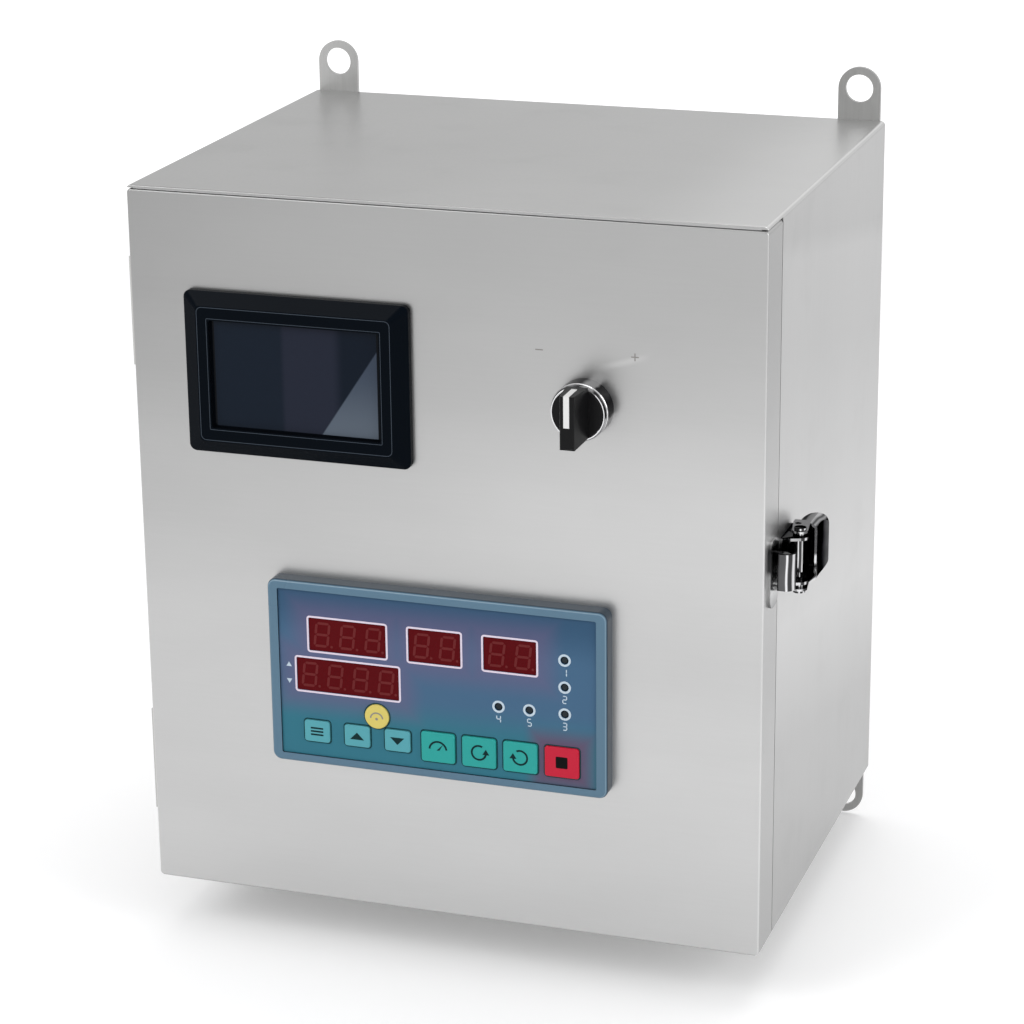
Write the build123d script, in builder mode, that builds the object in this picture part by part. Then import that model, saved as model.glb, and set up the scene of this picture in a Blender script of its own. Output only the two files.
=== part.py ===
from build123d import *
from math import cos, radians, sin
import os

# Wall control cabinet of a vacuum meat tumbler, in millimetres.
# +Z is up, the door faces -Y and the wall is the plane y = 0.
# The origin is the middle of the four lug holes, on the wall.
# A distance is measured from the wall, forward along -Y.

os.makedirs("parts", exist_ok=True)

# Cabinet sizes
cabinet_width = 350.0
cabinet_height = 400.0
cabinet_depth = 270.0
sheet = 1.5
bend_radius = 2.5
edge_radius = 1.2
return_width = 16.0
return_radius = 5.0
lip_height = 14.0
door_flange = 28.0
cut_clearance = 0.5
cut_radius = 2.0
seam_gap = 0.8
roof_gap = 0.6

# Wall lug sizes
lug_width = 24.5
lug_thickness = 2.5
lug_hole = 16.0
lug_inset = 15.5
lug_rise = 18.0
lug_overlap = 40.0

# Gasket
gasket_width = 14.0
gasket_gap = 0.3

# Hinges
hinge_height = 60.0
hinge_inset = 70.0
hinge_leaf = 2.0
hinge_barrel_radius = 4.5
hinge_pin_radius = 2.5
hinge_pin_head = 1.5
hinge_pin_rim = 1.0
hinge_stand_off = 0.5
hinge_knuckle_gap = 0.3
hinge_leaf_reach = 25.0
running_clearance = 0.05

# Latch: u runs back from the door face, p runs out from the cabinet side
latch_z = 13.0
keeper_width = 17.0
keeper_height = 37.0
keeper_edge = 7.5
keeper_corner = 6.0
latch_sheet = 1.5
bead_u = 21.3
bead_p = 6.6
bead_radius = 2.2
catch_height = 18.0
link_width = 20.0
hook_radius = 4.15
hook_tail = 3.2
hook_turn = 60.0
strap_bend = 10.2
lever_pivot_u = 40.0
lever_pivot_p = 9.0
link_pivot_back = 10.0
link_pivot_drop = 3.5
lever_half_width = 16.5
lever_sheet = 1.2
lever_front_u = 52.0
lever_tip_u = 73.0
lever_top_p = 15.2
lever_lift = 1.6
lever_gap = 2.4
lever_roll = 6.8
lever_mouth = 1.0
lever_dip = 0.3
lever_tail = 5.0
lever_belly = 11.0
arm_overlap = 4.0
lever_eye_radius = 4.2
base_front_gap = 3.0
base_length = 31.0
base_half_width = 13.0
base_corner = 3.0
cheek_front = 7.0
cheek_rear = 6.0
rivet_radius = 2.0
rivet_head = 1.2
rivet_clearance = 0.2
link_pin_radius = 1.75

# Touch screen, from its window outwards
screen_inset_x = 95.6
screen_inset_z = 98.4
window_width = 96.5
window_height = 59.5
window_radius = 1.5
plateau_border_x = 7.0
plateau_border_z = 7.6
slope_x = 8.2
slope_z = 7.2
screen_corner = 4.0
screen_rise = 8.0
screen_step = 3.5
glass_margin = 1.5
glass_thickness = 1.6
glass_recess = 3.0
glass_clearance = 0.2
housing_margin_x = 10.8
housing_margin_z = 9.8
housing_depth = 36.0
housing_step = 10.0
housing_waist = 7.0
vent_pitch = 6.0
vent_width = 2.4
vent_length = 60.0
vent_count = 5
vent_depth = 3.0
plug_drop = 25.0
plug_width = 34.0
plug_height = 10.0

# Clamps that hold the screen and the panel in the door
clamp_width = 10.0
clamp_height = 9.0
clamp_block = 8.0
clamp_reach = 20.0
clamp_screw_radius = 2.0
clamp_screw_length = 26.0
screen_clamp_pitch = 80.0
panel_clamp_pitch = 50.0

# Selector
selector_inset_x = 96.0
selector_inset_z = 101.0
selector_barrel_radius = 11.0
selector_barrel_depth = 20.0
selector_shaft_radius = 9.25
selector_hole_clearance = 0.25
bezel_radius = 15.4
bezel_rise = 13.0
bezel_rim = 0.5
bezel_shoulder = 3.0
bezel_shoulder_radius = 4.0
recess_depth = 3.5
disk_radius = 13.6
disk_clearance = 0.3
disk_proud = 0.4
disk_rounding = 0.6
shaft_end = 2.0
handle_width = 11.4
handle_front_width = 7.6
handle_reach = 14.4
handle_waist = 12.6
handle_height = 18.6
handle_rounding = 1.4
index_width = 3.1
index_inset = 0.5
index_proud = 0.15
index_down = 2.2
index_start = 4.6
selector_nut_flats = 29.0
selector_nut_height = 5.0
contact_width = 30.0
contact_height = 44.0
contact_depth = 34.0
contact_collar = 34.0
contact_collar_depth = 6.0
contact_corner = 1.5
terminal_pitch_x = 14.0
terminal_pitch_z = 36.0
terminal_pocket = (9.0, 8.0)
terminal_pocket_depth = 9.0

# Key and display panel
panel_shift = -2.5
panel_lift = 9.0
panel_width = 192.0
panel_height = 105.5
panel_rise = 10.0
panel_radius = 5.0
panel_rounding = 2.0
panel_rim_x = 6.0
panel_rim_z = 5.0
overlay_thickness = 1.5
overlay_recess = 1.0
overlay_clearance = 0.1
panel_shelf = 3.6
shelf_thickness = 3.5
board_thickness = 1.6
case_margin = 0.25
case_wall = 2.0
case_depth = 36.0
case_post_radius = 3.5
case_post_inset = 10.0
case_clearance = 0.2
case_vent = (90.0, 3.0)
case_vent_pitch = 7.0
case_plug = (36.0, 12.0)
case_plug_rise = 14.0
lens_thickness = 1.6
lens_recess = 0.4
lens_clearance = 0.1
lamp_radius = 2.0
lamp_clearance = 0.2
lamp_rounding = 0.9
lamp_recess = 0.2
module_margin = 0.5

# Displays on the overlay: insets from its edges, gaps between windows
display_left = 17.5
display_right = 33.4
display_gap = 13.1
display_top = 15.5
display_row_gap = 5.0
display_bottom = 37.7
vacuum_display_inset = 9.8
upper_digits = (3, 2, 2)
lower_digits = 4

# Lamps: a column down the right side and a row to the left from its foot
lamp_right = 17.6
lamp_top = 23.9
lamp_column_pitch = 15.3
lamp_row_steps = (19.8, 37.1)

# Keys: seven across, and a round one above the second gap
key_left = 9.2
key_right = 7.5
key_count = 7
small_key_gap = 8.7
large_key_gap = 4.2
small_key_height = 12.3
large_key_height = 17.2
small_key_rise = 14.5
large_key_rise = 13.5
round_key_rise = 27.2
round_key_radius = 6.9
key_rise = 1.2
key_travel = 0.8
key_clearance = 0.2
key_flange = 0.6
key_flange_thickness = 1.0
key_radius = 1.5
key_edge = 0.5
key_stem_radius = 2.0
key_lift = 0.2
stem_gap = 0.1
switch_side = 6.0
switch_body = 3.2
switch_button = 1.1
switch_button_radius = 1.7

# Mounting plate
plate_margin = 60.0
plate_thickness = 2.0
plate_gap = 20.0
plate_corner = 6.0
stud_inset = 15.0
stud_radius = 4.0
stud_boss = 3.0
stud_nut_flats = 13.0
stud_nut_height = 6.5
stud_end = 3.0
stud_clearance = 0.2

# Rails
rail_width = 35.0
rail_depth = 7.5
rail_sheet = 1.0
rail_brim = 4.0
rail_inset = 10.0
rail_slot = (15.0, 6.0)
rail_slot_pitch = 26.0
rail_lead = 7.0
upper_rail_drop = 70.0
middle_rail_rise = 90.0

# Wiring ducts
duct_height = 25.0
duct_depth = 40.0
duct_wall = 1.5
duct_inset = 5.0
duct_gap = 18.0
lower_duct_rise = 38.0
comb_pitch = 14.0
comb_slot = 6.0
comb_foot = 12.0
duct_cover_margin = 1.0

# Inverter
inverter_inset = 57.0
inverter_drop = 102.0
inverter_width = 90.0
inverter_height = 156.0
inverter_depth = 112.0
inverter_corner = 4.0
inverter_rounding = 3.0
heatsink_depth = 32.0
heatsink_base = 6.0
fin_pitch = 8.0
fin_thickness = 2.0
fin_inset = 2.0
cover_height = 50.0
cover_thickness = 5.0
cover_rise = 4.0
cover_margin = 3.0
cover_clearance = 0.2
cover_proud = 0.5
cable_notch = 5.0
cable_notch_pitch = 40.0
front_vent = (50.0, 3.0)
front_vent_pitch = 7.0
front_vent_depth = 2.0
front_vent_rise = 40.0
inverter_vent = (70.0, 3.0)
inverter_vent_pitch = 8.0
inverter_vent_rise = 20.0

# Breaker, power supply, contactors and terminals
breaker_gap = 25.0
breaker_width = 36.0
breaker_height = 82.0
breaker_shoulder = 44.0
breaker_nose = 45.0
breaker_depth = 60.0
toggle_width = 26.0
toggle_hub = 6.0
toggle_inset = 5.0
toggle_reach = 14.0
toggle_neck = 4.0
toggle_lean = 40.0
toggle_pocket = 17.0
toggle_clearance = 0.8
toggle_side_gap = 0.3
toggle_root_radius = 3.0
toggle_tip_radius = 1.6
breaker_chamfer = 2.0
screw_well_radius = 3.2
screw_well_depth = 6.0
screw_well_pitch = 66.0
supply_gap = 17.0
supply_width = 54.0
supply_height = 96.0
supply_depth = 84.0
supply_chamfer = 4.0
supply_vent = (36.0, 4.0)
supply_vent_pitch = 9.0
supply_vent_rise = 6.0
supply_vent_depth = 2.0
supply_terminal_rise = 11.0
supply_terminal = (46.0, 10.0)
supply_terminal_depth = 12.0
contactor_inset = 37.0
contactor_pitch = 50.0
contactor_width = 45.0
contactor_height = 74.0
contactor_step = 48.0
contactor_nose = 46.0
contactor_depth = 80.0
contactor_well = (8.0, 12.0)
contactor_well_pitch = (11.0, 64.0)
contactor_well_depth = 8.0
contactor_button = (12.0, 16.0)
contactor_button_depth = 2.0
contactor_nose_inset = 0.5
contactor_corner = 2.0
terminal_gap = 55.0
terminal_inset = 27.0
terminal_pitch = 7.0
terminal_play = 0.2
terminal_height = 44.0
terminal_shoulder = 24.0
terminal_depth = 36.0
terminal_crest = 18.0
terminal_notch = (8.0, 6.0)
earth_inset = 23.0
earth_rise = 30.0
earth_flats = 13.0
earth_nut_height = 5.0
earth_radius = 3.0
earth_length = 19.0
earth_washer_gap = 4.0
earth_nut_flats = 10.0

# Cable glands
gland_pitch = 50.0
gland_count = 4
gland_distance = 70.0
gland_thread_radius = 10.0
gland_hole_clearance = 0.15
gland_thread_length = 11.5
gland_bore_radius = 6.5
gland_flats = 24.0
gland_hex_height = 7.0
gland_neck_radius = 9.0
gland_neck_length = 8.0
gland_cap_wall = 6.0
gland_cap_gap = 0.5
gland_cap_chamfer = 2.5
gland_cap_margin = 0.5
gland_cap_clearance = 0.1
gland_locknut_height = 5.0
seal_bore_radius = 4.5
seal_length = 16.0
seal_reach = 3.0

# Worked out from the sizes above
half_width = cabinet_width / 2
half_height = cabinet_height / 2
inner_width = cabinet_width - 2 * sheet
inner_height = cabinet_height - 2 * sheet
door_face = cabinet_depth
door_inner = door_face - sheet
door_rear = door_face - door_flange
shell_front = door_rear - seam_gap
shell_rear = lug_thickness + sheet
lip_front = shell_front + lip_height
opening_width = inner_width - 2 * return_width
opening_height = inner_height - 2 * return_width
door_height = cabinet_height - sheet - roof_gap
door_middle_z = -half_height + door_height / 2
lug_x = half_width - lug_inset
lug_z = half_height + lug_rise
screen_x = screen_inset_x - half_width
screen_z = half_height - screen_inset_z
plateau_width = window_width + 2 * plateau_border_x
plateau_height = window_height + 2 * plateau_border_z
screen_width = plateau_width + 2 * slope_x
screen_height = plateau_height + 2 * slope_z
housing_width = window_width + 2 * housing_margin_x
housing_height = window_height + 2 * housing_margin_z
selector_x = half_width - selector_inset_x
selector_z = half_height - selector_inset_z
panel_x = panel_shift
panel_z = (screen_z - screen_height / 2 - half_height) / 2 + panel_lift
overlay_width = panel_width - 2 * panel_rim_x
overlay_height = panel_height - 2 * panel_rim_z
overlay_right = overlay_width / 2
overlay_top = overlay_height / 2
plate_width = cabinet_width - plate_margin
plate_height = cabinet_height - plate_margin
plate_right = plate_width / 2
plate_top = plate_height / 2
stud_spacing_x = plate_width - 2 * stud_inset
stud_spacing_z = plate_height - 2 * stud_inset
plate_rear = shell_rear + plate_gap
plate_front = plate_rear + plate_thickness
rail_front = plate_front + rail_depth
upper_rail_z = plate_top - upper_rail_drop
middle_rail_z = middle_rail_rise - plate_top
inverter_x = inverter_inset - plate_right
inverter_z = plate_top - inverter_drop
breaker_x = inverter_x + (inverter_width + breaker_width) / 2 + breaker_gap
supply_x = breaker_x + (breaker_width + supply_width) / 2 + supply_gap
contactor_places = [contactor_inset - plate_right + contactor_pitch * i for i in range(2)]
terminal_start = contactor_places[-1] + contactor_width / 2 + terminal_gap
terminal_count = int((plate_right - terminal_inset - terminal_start) // terminal_pitch)
duct_length = plate_width - 2 * duct_inset
duct_places = [inverter_z - inverter_height / 2 - duct_gap, lower_duct_rise - plate_top]
gland_places = [(gland_pitch * (i - (gland_count - 1) / 2), -gland_distance) for i in range(gland_count)]


def facing(distance, x=0.0, z=0.0):
    # A plane parallel to the wall at a distance from it, seen from the front
    return Plane(origin=(x, -distance, z), x_dir=(1, 0, 0), z_dir=(0, -1, 0))


def beside(p):
    # A plane parallel to the cabinet's right side: local x is u, local y is height from the latch
    return Plane(origin=(half_width + p, -door_face, latch_z), x_dir=(0, 1, 0), z_dir=(1, 0, 0))


def latch_side(height):
    # A level plane at a height from the latch: local x is u, local y is p
    return Plane(origin=(half_width, -door_face, latch_z + height), x_dir=(0, 1, 0), z_dir=(0, 0, -1))


def ring(plane, width, height, radius, wall, depth):
    # A rounded rectangular band, its outside given
    with BuildSketch(plane) as band:
        RectangleRounded(width, height, radius)
        RectangleRounded(width - 2 * wall, height - 2 * wall, max(radius - wall, 0.5), mode=Mode.SUBTRACT)
    extrude(band.sketch, amount=depth)


# Cabinet shell: four folded walls, a return round the mouth, a lip and a roof over the door
with BuildPart() as cabinet_shell:
    ring(facing(shell_rear), cabinet_width, cabinet_height, bend_radius, sheet, shell_front - shell_rear)
    with BuildSketch(facing(shell_front - sheet)):
        Rectangle(inner_width, inner_height)
        RectangleRounded(opening_width, opening_height, return_radius, mode=Mode.SUBTRACT)
    extrude(amount=sheet)
    with BuildSketch(facing(shell_front - sheet)):
        RectangleRounded(opening_width + 2 * sheet, opening_height + 2 * sheet, return_radius + sheet)
        RectangleRounded(opening_width, opening_height, return_radius, mode=Mode.SUBTRACT)
    extrude(amount=sheet + lip_height)
    with BuildSketch(facing(shell_front)):
        RectangleRounded(cabinet_width, cabinet_height, bend_radius)
        with Locations((0, -sheet)):
            Rectangle(cabinet_width, cabinet_height, mode=Mode.SUBTRACT)
    extrude(amount=door_face - shell_front)
    roof_edge = cabinet_shell.edges().filter_by(Axis.X).group_by(Axis.Y)[0].sort_by(Axis.Z)[-1]
    fillet(roof_edge, radius=sheet / 2)
    with BuildSketch(Plane.XY.offset(-half_height)):
        with Locations(*gland_places):
            Circle(gland_thread_radius + gland_hole_clearance)
    extrude(amount=sheet, mode=Mode.SUBTRACT)
cabinet_shell.part.label = "cabinet_shell"
export_step(cabinet_shell.part, "parts/cabinet_shell.step")

with BuildPart() as back_panel:
    with BuildSketch(facing(lug_thickness)):
        RectangleRounded(cabinet_width, cabinet_height, bend_radius)
    extrude(amount=sheet)
back_panel.part.label = "back_panel"
export_step(back_panel.part, "parts/back_panel.step")

# Wall lugs: flat straps with a full round end, welded behind the back panel
with BuildPart() as wall_lugs:
    with BuildSketch(facing(0)):
        with Locations((-lug_x, lug_z), (lug_x, lug_z)):
            Circle(lug_width / 2)
            with Locations((0, -(lug_rise + lug_overlap) / 2)):
                Rectangle(lug_width, lug_rise + lug_overlap)
            Circle(lug_hole / 2, mode=Mode.SUBTRACT)
    extrude(amount=lug_thickness)
    mirror(about=Plane.XY)
wall_lugs.part.label = "wall_lugs"
export_step(wall_lugs.part, "parts/wall_lugs.step")

# Door: a folded tray with cut-outs for the screen, the selector and the panel
case_width = overlay_width + 2 * case_margin
case_height = overlay_height + 2 * case_margin
screen_cut = [side + 2 * cut_clearance for side in (housing_width, housing_height)]
panel_cut = [side + 2 * cut_clearance for side in (case_width, case_height)]
with BuildPart() as door_panel:
    with BuildSketch(facing(door_rear, 0, door_middle_z)):
        RectangleRounded(cabinet_width, door_height, bend_radius)
    extrude(amount=door_flange)
    fillet(door_panel.faces().sort_by(Axis.Y)[0].edges(), radius=edge_radius)
    with BuildSketch(facing(door_rear, 0, door_middle_z)):
        RectangleRounded(cabinet_width - 2 * sheet, door_height - 2 * sheet, bend_radius - sheet)
    extrude(amount=door_flange - sheet, mode=Mode.SUBTRACT)
    with BuildSketch(facing(door_inner)):
        with Locations((screen_x, screen_z)):
            RectangleRounded(*screen_cut, cut_radius)
        with Locations((panel_x, panel_z)):
            RectangleRounded(*panel_cut, cut_radius)
        with Locations((selector_x, selector_z)):
            Circle(selector_barrel_radius + selector_hole_clearance)
    extrude(amount=sheet, mode=Mode.SUBTRACT)
door_panel.part.label = "door_panel"
export_step(door_panel.part, "parts/door_panel.step")

with BuildPart() as door_gasket:
    ring(
        facing(lip_front + gasket_gap),
        opening_width + sheet + gasket_width,
        opening_height + sheet + gasket_width,
        return_radius + gasket_width / 2,
        gasket_width,
        door_inner - lip_front - gasket_gap,
    )
door_gasket.part.label = "door_gasket"
export_step(door_gasket.part, "parts/door_gasket.step")

# Hinges on the left side: three knuckles each, the outer two on the cabinet
hinge_x = -(half_width + hinge_stand_off + hinge_barrel_radius)
hinge_distance = door_rear - seam_gap / 2
hinge_heights = [hinge_inset - half_height, half_height - hinge_inset]
knuckle = hinge_height / 3
leaf_start = hinge_barrel_radius + hinge_knuckle_gap


def leaf(z, direction, bands):
    # Plate on the side wall, and knuckles with a web that reaches from the barrel to the plate
    far = hinge_distance + direction * hinge_leaf_reach
    near = hinge_distance + direction * leaf_start
    with BuildSketch(Plane.XY.offset(z - hinge_height / 2)) as plate:
        with Locations((-half_width - hinge_leaf / 2, -(far + near) / 2)):
            Rectangle(hinge_leaf, hinge_leaf_reach - leaf_start)
    extrude(plate.sketch, amount=hinge_height)
    for low, high in bands:
        with BuildSketch(Plane.XY.offset(z + low)) as web:
            with Locations((-half_width - hinge_leaf / 2, -(hinge_distance + near) / 2)):
                Rectangle(hinge_leaf, leaf_start)
            with Locations((hinge_x, -hinge_distance)):
                Circle(hinge_barrel_radius)
                Circle(hinge_pin_radius + running_clearance, mode=Mode.SUBTRACT)
            with Locations((-half_width, -hinge_distance)):
                Rectangle(2 * hinge_stand_off, 2 * hinge_barrel_radius, mode=Mode.SUBTRACT)
        extrude(web.sketch, amount=high - low)


with BuildPart() as hinge_cabinet_leaves:
    for z in hinge_heights:
        outer_bands = [(-1.5 * knuckle, -0.5 * knuckle - hinge_knuckle_gap)]
        outer_bands.append((0.5 * knuckle + hinge_knuckle_gap, 1.5 * knuckle))
        leaf(z, -1, outer_bands)
hinge_cabinet_leaves.part.label = "hinge_cabinet_leaves"
export_step(hinge_cabinet_leaves.part, "parts/hinge_cabinet_leaves.step")

with BuildPart() as hinge_door_leaves:
    for z in hinge_heights:
        leaf(z, 1, [(-0.5 * knuckle, 0.5 * knuckle)])
hinge_door_leaves.part.label = "hinge_door_leaves"
export_step(hinge_door_leaves.part, "parts/hinge_door_leaves.step")

with BuildPart() as hinge_pins:
    for z in hinge_heights:
        with BuildSketch(Plane.XY.offset(z - hinge_height / 2 - hinge_pin_head)):
            with Locations((hinge_x, -hinge_distance)):
                Circle(hinge_pin_radius)
        extrude(amount=hinge_height + 2 * hinge_pin_head)
        for low in (z - hinge_height / 2 - hinge_pin_head, z + hinge_height / 2):
            with BuildSketch(Plane.XY.offset(low)):
                with Locations((hinge_x, -hinge_distance)):
                    Circle(hinge_pin_radius + hinge_pin_rim)
            extrude(amount=hinge_pin_head)
hinge_pins.part.label = "hinge_pins"
export_step(hinge_pins.part, "parts/hinge_pins.step")

# Draw latch: a keeper on the door flange, a base on the cabinet, a domed lever and a hooked link
link_pivot_u = lever_pivot_u + link_pivot_back
link_pivot_p = lever_pivot_p - link_pivot_drop
with BuildPart() as latch_keeper:
    with BuildSketch(beside(0)):
        with Locations((keeper_edge + keeper_width / 2, 0)):
            RectangleRounded(keeper_width, keeper_height, keeper_corner)
    extrude(amount=latch_sheet)
    with BuildSketch(latch_side(0)):
        with Locations((keeper_edge + keeper_width - latch_sheet / 2, bead_p / 2)):
            Rectangle(latch_sheet, bead_p)
        with Locations((bead_u, bead_p)):
            Circle(bead_radius)
    extrude(amount=catch_height / 2, both=True)
latch_keeper.part.label = "latch_keeper"
export_step(latch_keeper.part, "parts/latch_keeper.step")

base_front_u = door_flange + base_front_gap
base_rear_u = base_front_u + base_length
cheek_front_u = lever_pivot_u - cheek_front
cheek_rear_u = lever_pivot_u + cheek_rear
with BuildPart() as latch_base:
    with BuildSketch(beside(0)):
        with Locations(((base_front_u + base_rear_u) / 2, 0)):
            RectangleRounded(base_length, 2 * base_half_width, base_corner)
    extrude(amount=latch_sheet)
    for side in (-1, 1):
        with BuildSketch(latch_side(side * (base_half_width - latch_sheet / 2))):
            with Locations((lever_pivot_u, lever_pivot_p)):
                Circle(lever_eye_radius)
            with Locations(((cheek_front_u + cheek_rear_u) / 2, latch_sheet)):
                Rectangle(cheek_rear_u - cheek_front_u, latch_sheet)
            make_hull()
            with Locations((lever_pivot_u, lever_pivot_p)):
                Circle(rivet_radius + running_clearance, mode=Mode.SUBTRACT)
        extrude(amount=latch_sheet / 2, both=True)
latch_base.part.label = "latch_base"
export_step(latch_base.part, "parts/latch_base.step")

rivet_inside = base_half_width - latch_sheet
rivet_outside = lever_half_width + rivet_clearance
with BuildPart() as latch_rivets:
    for side in (-1, 1):
        with BuildSketch(latch_side(side * rivet_inside)):
            with Locations((lever_pivot_u, lever_pivot_p)):
                Circle(rivet_radius)
        extrude(amount=-side * (rivet_outside - rivet_inside))
        with BuildSketch(latch_side(side * rivet_outside)):
            with Locations((lever_pivot_u, lever_pivot_p)):
                Circle(rivet_radius + rivet_head)
        extrude(amount=-side * rivet_head)
latch_rivets.part.label = "latch_rivets"
export_step(latch_rivets.part, "parts/latch_rivets.step")


def lever_form(inset):
    # The lever's side outline with a lifted tip, cut to a cross-section with half-round flanks
    tip = lever_tip_u - inset
    top_p = lever_top_p - inset
    middle = (lever_front_u + lever_tip_u) / 2
    with BuildSketch(latch_side(0)) as outline:
        with BuildLine():
            top = ThreePointArc((lever_front_u, top_p), (middle, top_p - lever_dip), (tip, top_p + lever_lift))
            Polyline(
                top @ 1,
                (tip, top_p),
                (tip - lever_tail, lever_top_p / 2),
                (tip - lever_belly, lever_gap),
                (lever_front_u, lever_gap),
                top @ 0,
            )
        make_face()
    extrude(outline.sketch, amount=lever_half_width - inset, both=True)
    across = Plane(origin=(half_width, -door_face, latch_z), x_dir=(0, 0, 1), z_dir=(0, 1, 0))
    arch_top = lever_top_p + lever_lift - inset
    arch_foot = lever_gap + inset
    with BuildSketch(across) as arch:
        with Locations((0, (arch_top + arch_foot) / 2)):
            RectangleRounded(2 * (lever_half_width - inset), arch_top - arch_foot, lever_roll - inset)
    extrude(arch.sketch, amount=2 * lever_tip_u, mode=Mode.INTERSECT)


lever_length = lever_tip_u - lever_front_u
with BuildPart() as lever_cavity:
    lever_form(lever_sheet)

with BuildPart() as latch_lever:
    lever_form(0)
    add(lever_cavity.part, mode=Mode.SUBTRACT)
    with BuildSketch(beside(0)):
        with Locations((lever_tip_u, 0)):
            Rectangle(2 * lever_length, link_width + 2 * lever_mouth)
    extrude(amount=lever_gap + 2 * lever_sheet, mode=Mode.SUBTRACT)
    for side in (-1, 1):
        with BuildSketch(latch_side(side * (lever_half_width - lever_sheet / 2))):
            with Locations((lever_pivot_u, lever_pivot_p)):
                Circle(lever_eye_radius)
            with Locations((lever_front_u + arm_overlap / 2, lever_gap + lever_eye_radius)):
                Rectangle(arm_overlap, 2 * lever_eye_radius)
            make_hull()
            with Locations((lever_pivot_u, lever_pivot_p)):
                Circle(rivet_radius + running_clearance, mode=Mode.SUBTRACT)
            with Locations((link_pivot_u, link_pivot_p)):
                Circle(link_pin_radius, mode=Mode.SUBTRACT)
        extrude(amount=lever_sheet / 2, both=True)
latch_lever.part.label = "latch_lever"
export_step(latch_lever.part, "parts/latch_lever.step")

with BuildPart() as latch_link_pin:
    with BuildSketch(latch_side(0)):
        with Locations((link_pivot_u, link_pivot_p)):
            Circle(link_pin_radius)
    extrude(amount=lever_half_width, both=True)
latch_link_pin.part.label = "latch_link_pin"
export_step(latch_link_pin.part, "parts/latch_link_pin.step")

# Link: an eye round its pin, a strap, and a hook curled over the keeper's bead
strap_rise_u = bead_u + strap_bend
hook_top = (hook_radius * cos(radians(hook_turn)), hook_radius * sin(radians(hook_turn)))
with BuildPart() as latch_link:
    with BuildSketch(latch_side(0)):
        hook_start = (bead_u + hook_top[0], bead_p + hook_top[1])
        with BuildLine():
            Line((link_pivot_u - 2 * latch_sheet, link_pivot_p), (strap_rise_u, link_pivot_p))
            Line((strap_rise_u, link_pivot_p), hook_start)
            curl = CenterArc((bead_u, bead_p), hook_radius, hook_turn, 180 - hook_turn)
            Line(curl @ 1, (bead_u - hook_radius, bead_p - hook_tail))
            offset(amount=latch_sheet / 2)
        make_face()
        with Locations((link_pivot_u, link_pivot_p)):
            Circle(link_pin_radius + latch_sheet)
            Circle(link_pin_radius + running_clearance, mode=Mode.SUBTRACT)
    extrude(amount=link_width / 2, both=True)
latch_link.part.label = "latch_link"
export_step(latch_link.part, "parts/latch_link.step")

# Touch screen: a bezel that slopes up to a plateau, its glass set back in the window
screen_front = door_face + screen_rise
glass_front = screen_front - glass_recess
glass_rear = glass_front - glass_thickness
glass_size = [side + 2 * glass_margin for side in (window_width, window_height)]
glass_pocket = [side + 2 * glass_clearance for side in glass_size]
glass_radius = window_radius + glass_clearance
with BuildPart() as screen_bezel:
    with BuildSketch(facing(door_face, screen_x, screen_z)):
        RectangleRounded(screen_width, screen_height, screen_corner)
    extrude(amount=screen_step)
    with BuildSketch(facing(door_face + screen_step, screen_x, screen_z)):
        RectangleRounded(screen_width, screen_height, screen_corner)
    with BuildSketch(facing(screen_front, screen_x, screen_z)):
        RectangleRounded(plateau_width, plateau_height, screen_corner - window_radius)
    loft()
    with BuildSketch(facing(door_face, screen_x, screen_z)):
        RectangleRounded(window_width, window_height, window_radius)
    extrude(amount=screen_rise, mode=Mode.SUBTRACT)
    with BuildSketch(facing(door_face, screen_x, screen_z)):
        RectangleRounded(*glass_pocket, glass_radius + glass_clearance)
    extrude(amount=glass_front - door_face, mode=Mode.SUBTRACT)
screen_bezel.part.label = "screen_bezel"
export_step(screen_bezel.part, "parts/screen_bezel.step")

with BuildPart() as screen_glass:
    with BuildSketch(facing(glass_rear, screen_x, screen_z)):
        RectangleRounded(*glass_size, glass_radius)
    extrude(amount=glass_thickness)
screen_glass.part.label = "screen_glass"
export_step(screen_glass.part, "parts/screen_glass.step")

# Screen housing: a box behind the door, stepped in at the back, with cooling slots and a plug recess
housing_rear = door_face - housing_depth
with BuildPart() as screen_housing:
    with BuildSketch(facing(housing_rear + housing_step, screen_x, screen_z)):
        RectangleRounded(housing_width, housing_height, screen_corner)
    extrude(amount=housing_depth - housing_step)
    with BuildSketch(facing(housing_rear, screen_x, screen_z)):
        RectangleRounded(housing_width - 2 * housing_waist, housing_height - 2 * housing_waist, screen_corner)
    extrude(amount=housing_step)
    with BuildSketch(facing(door_face, screen_x, screen_z)):
        RectangleRounded(*glass_size, glass_radius)
    extrude(amount=glass_rear - door_face)
    with BuildSketch(facing(housing_rear, screen_x, screen_z)):
        with GridLocations(0, vent_pitch, 1, vent_count):
            SlotOverall(vent_length, vent_width)
        with Locations((0, -plug_drop)):
            Rectangle(plug_width, plug_height)
    extrude(amount=vent_depth, mode=Mode.SUBTRACT)
screen_housing.part.label = "screen_housing"
export_step(screen_housing.part, "parts/screen_housing.step")

# Screen clamps: a block on the housing's edge with a screw that bears on the inside of the door
with BuildPart() as screen_clamps:
    for side in (-1, 1):
        clamp_z = screen_z + side * (housing_height + clamp_height) / 2
        with BuildSketch(facing(door_inner - clamp_reach, screen_x, clamp_z)):
            with GridLocations(screen_clamp_pitch, 0, 2, 1):
                RectangleRounded(clamp_width, clamp_height, 1)
        extrude(amount=clamp_block)
        with BuildSketch(facing(door_inner - clamp_screw_length, screen_x, clamp_z)):
            with GridLocations(screen_clamp_pitch, 0, 2, 1):
                Circle(clamp_screw_radius)
        extrude(amount=clamp_screw_length)
screen_clamps.part.label = "screen_clamps"
export_step(screen_clamps.part, "parts/screen_clamps.step")

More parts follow.
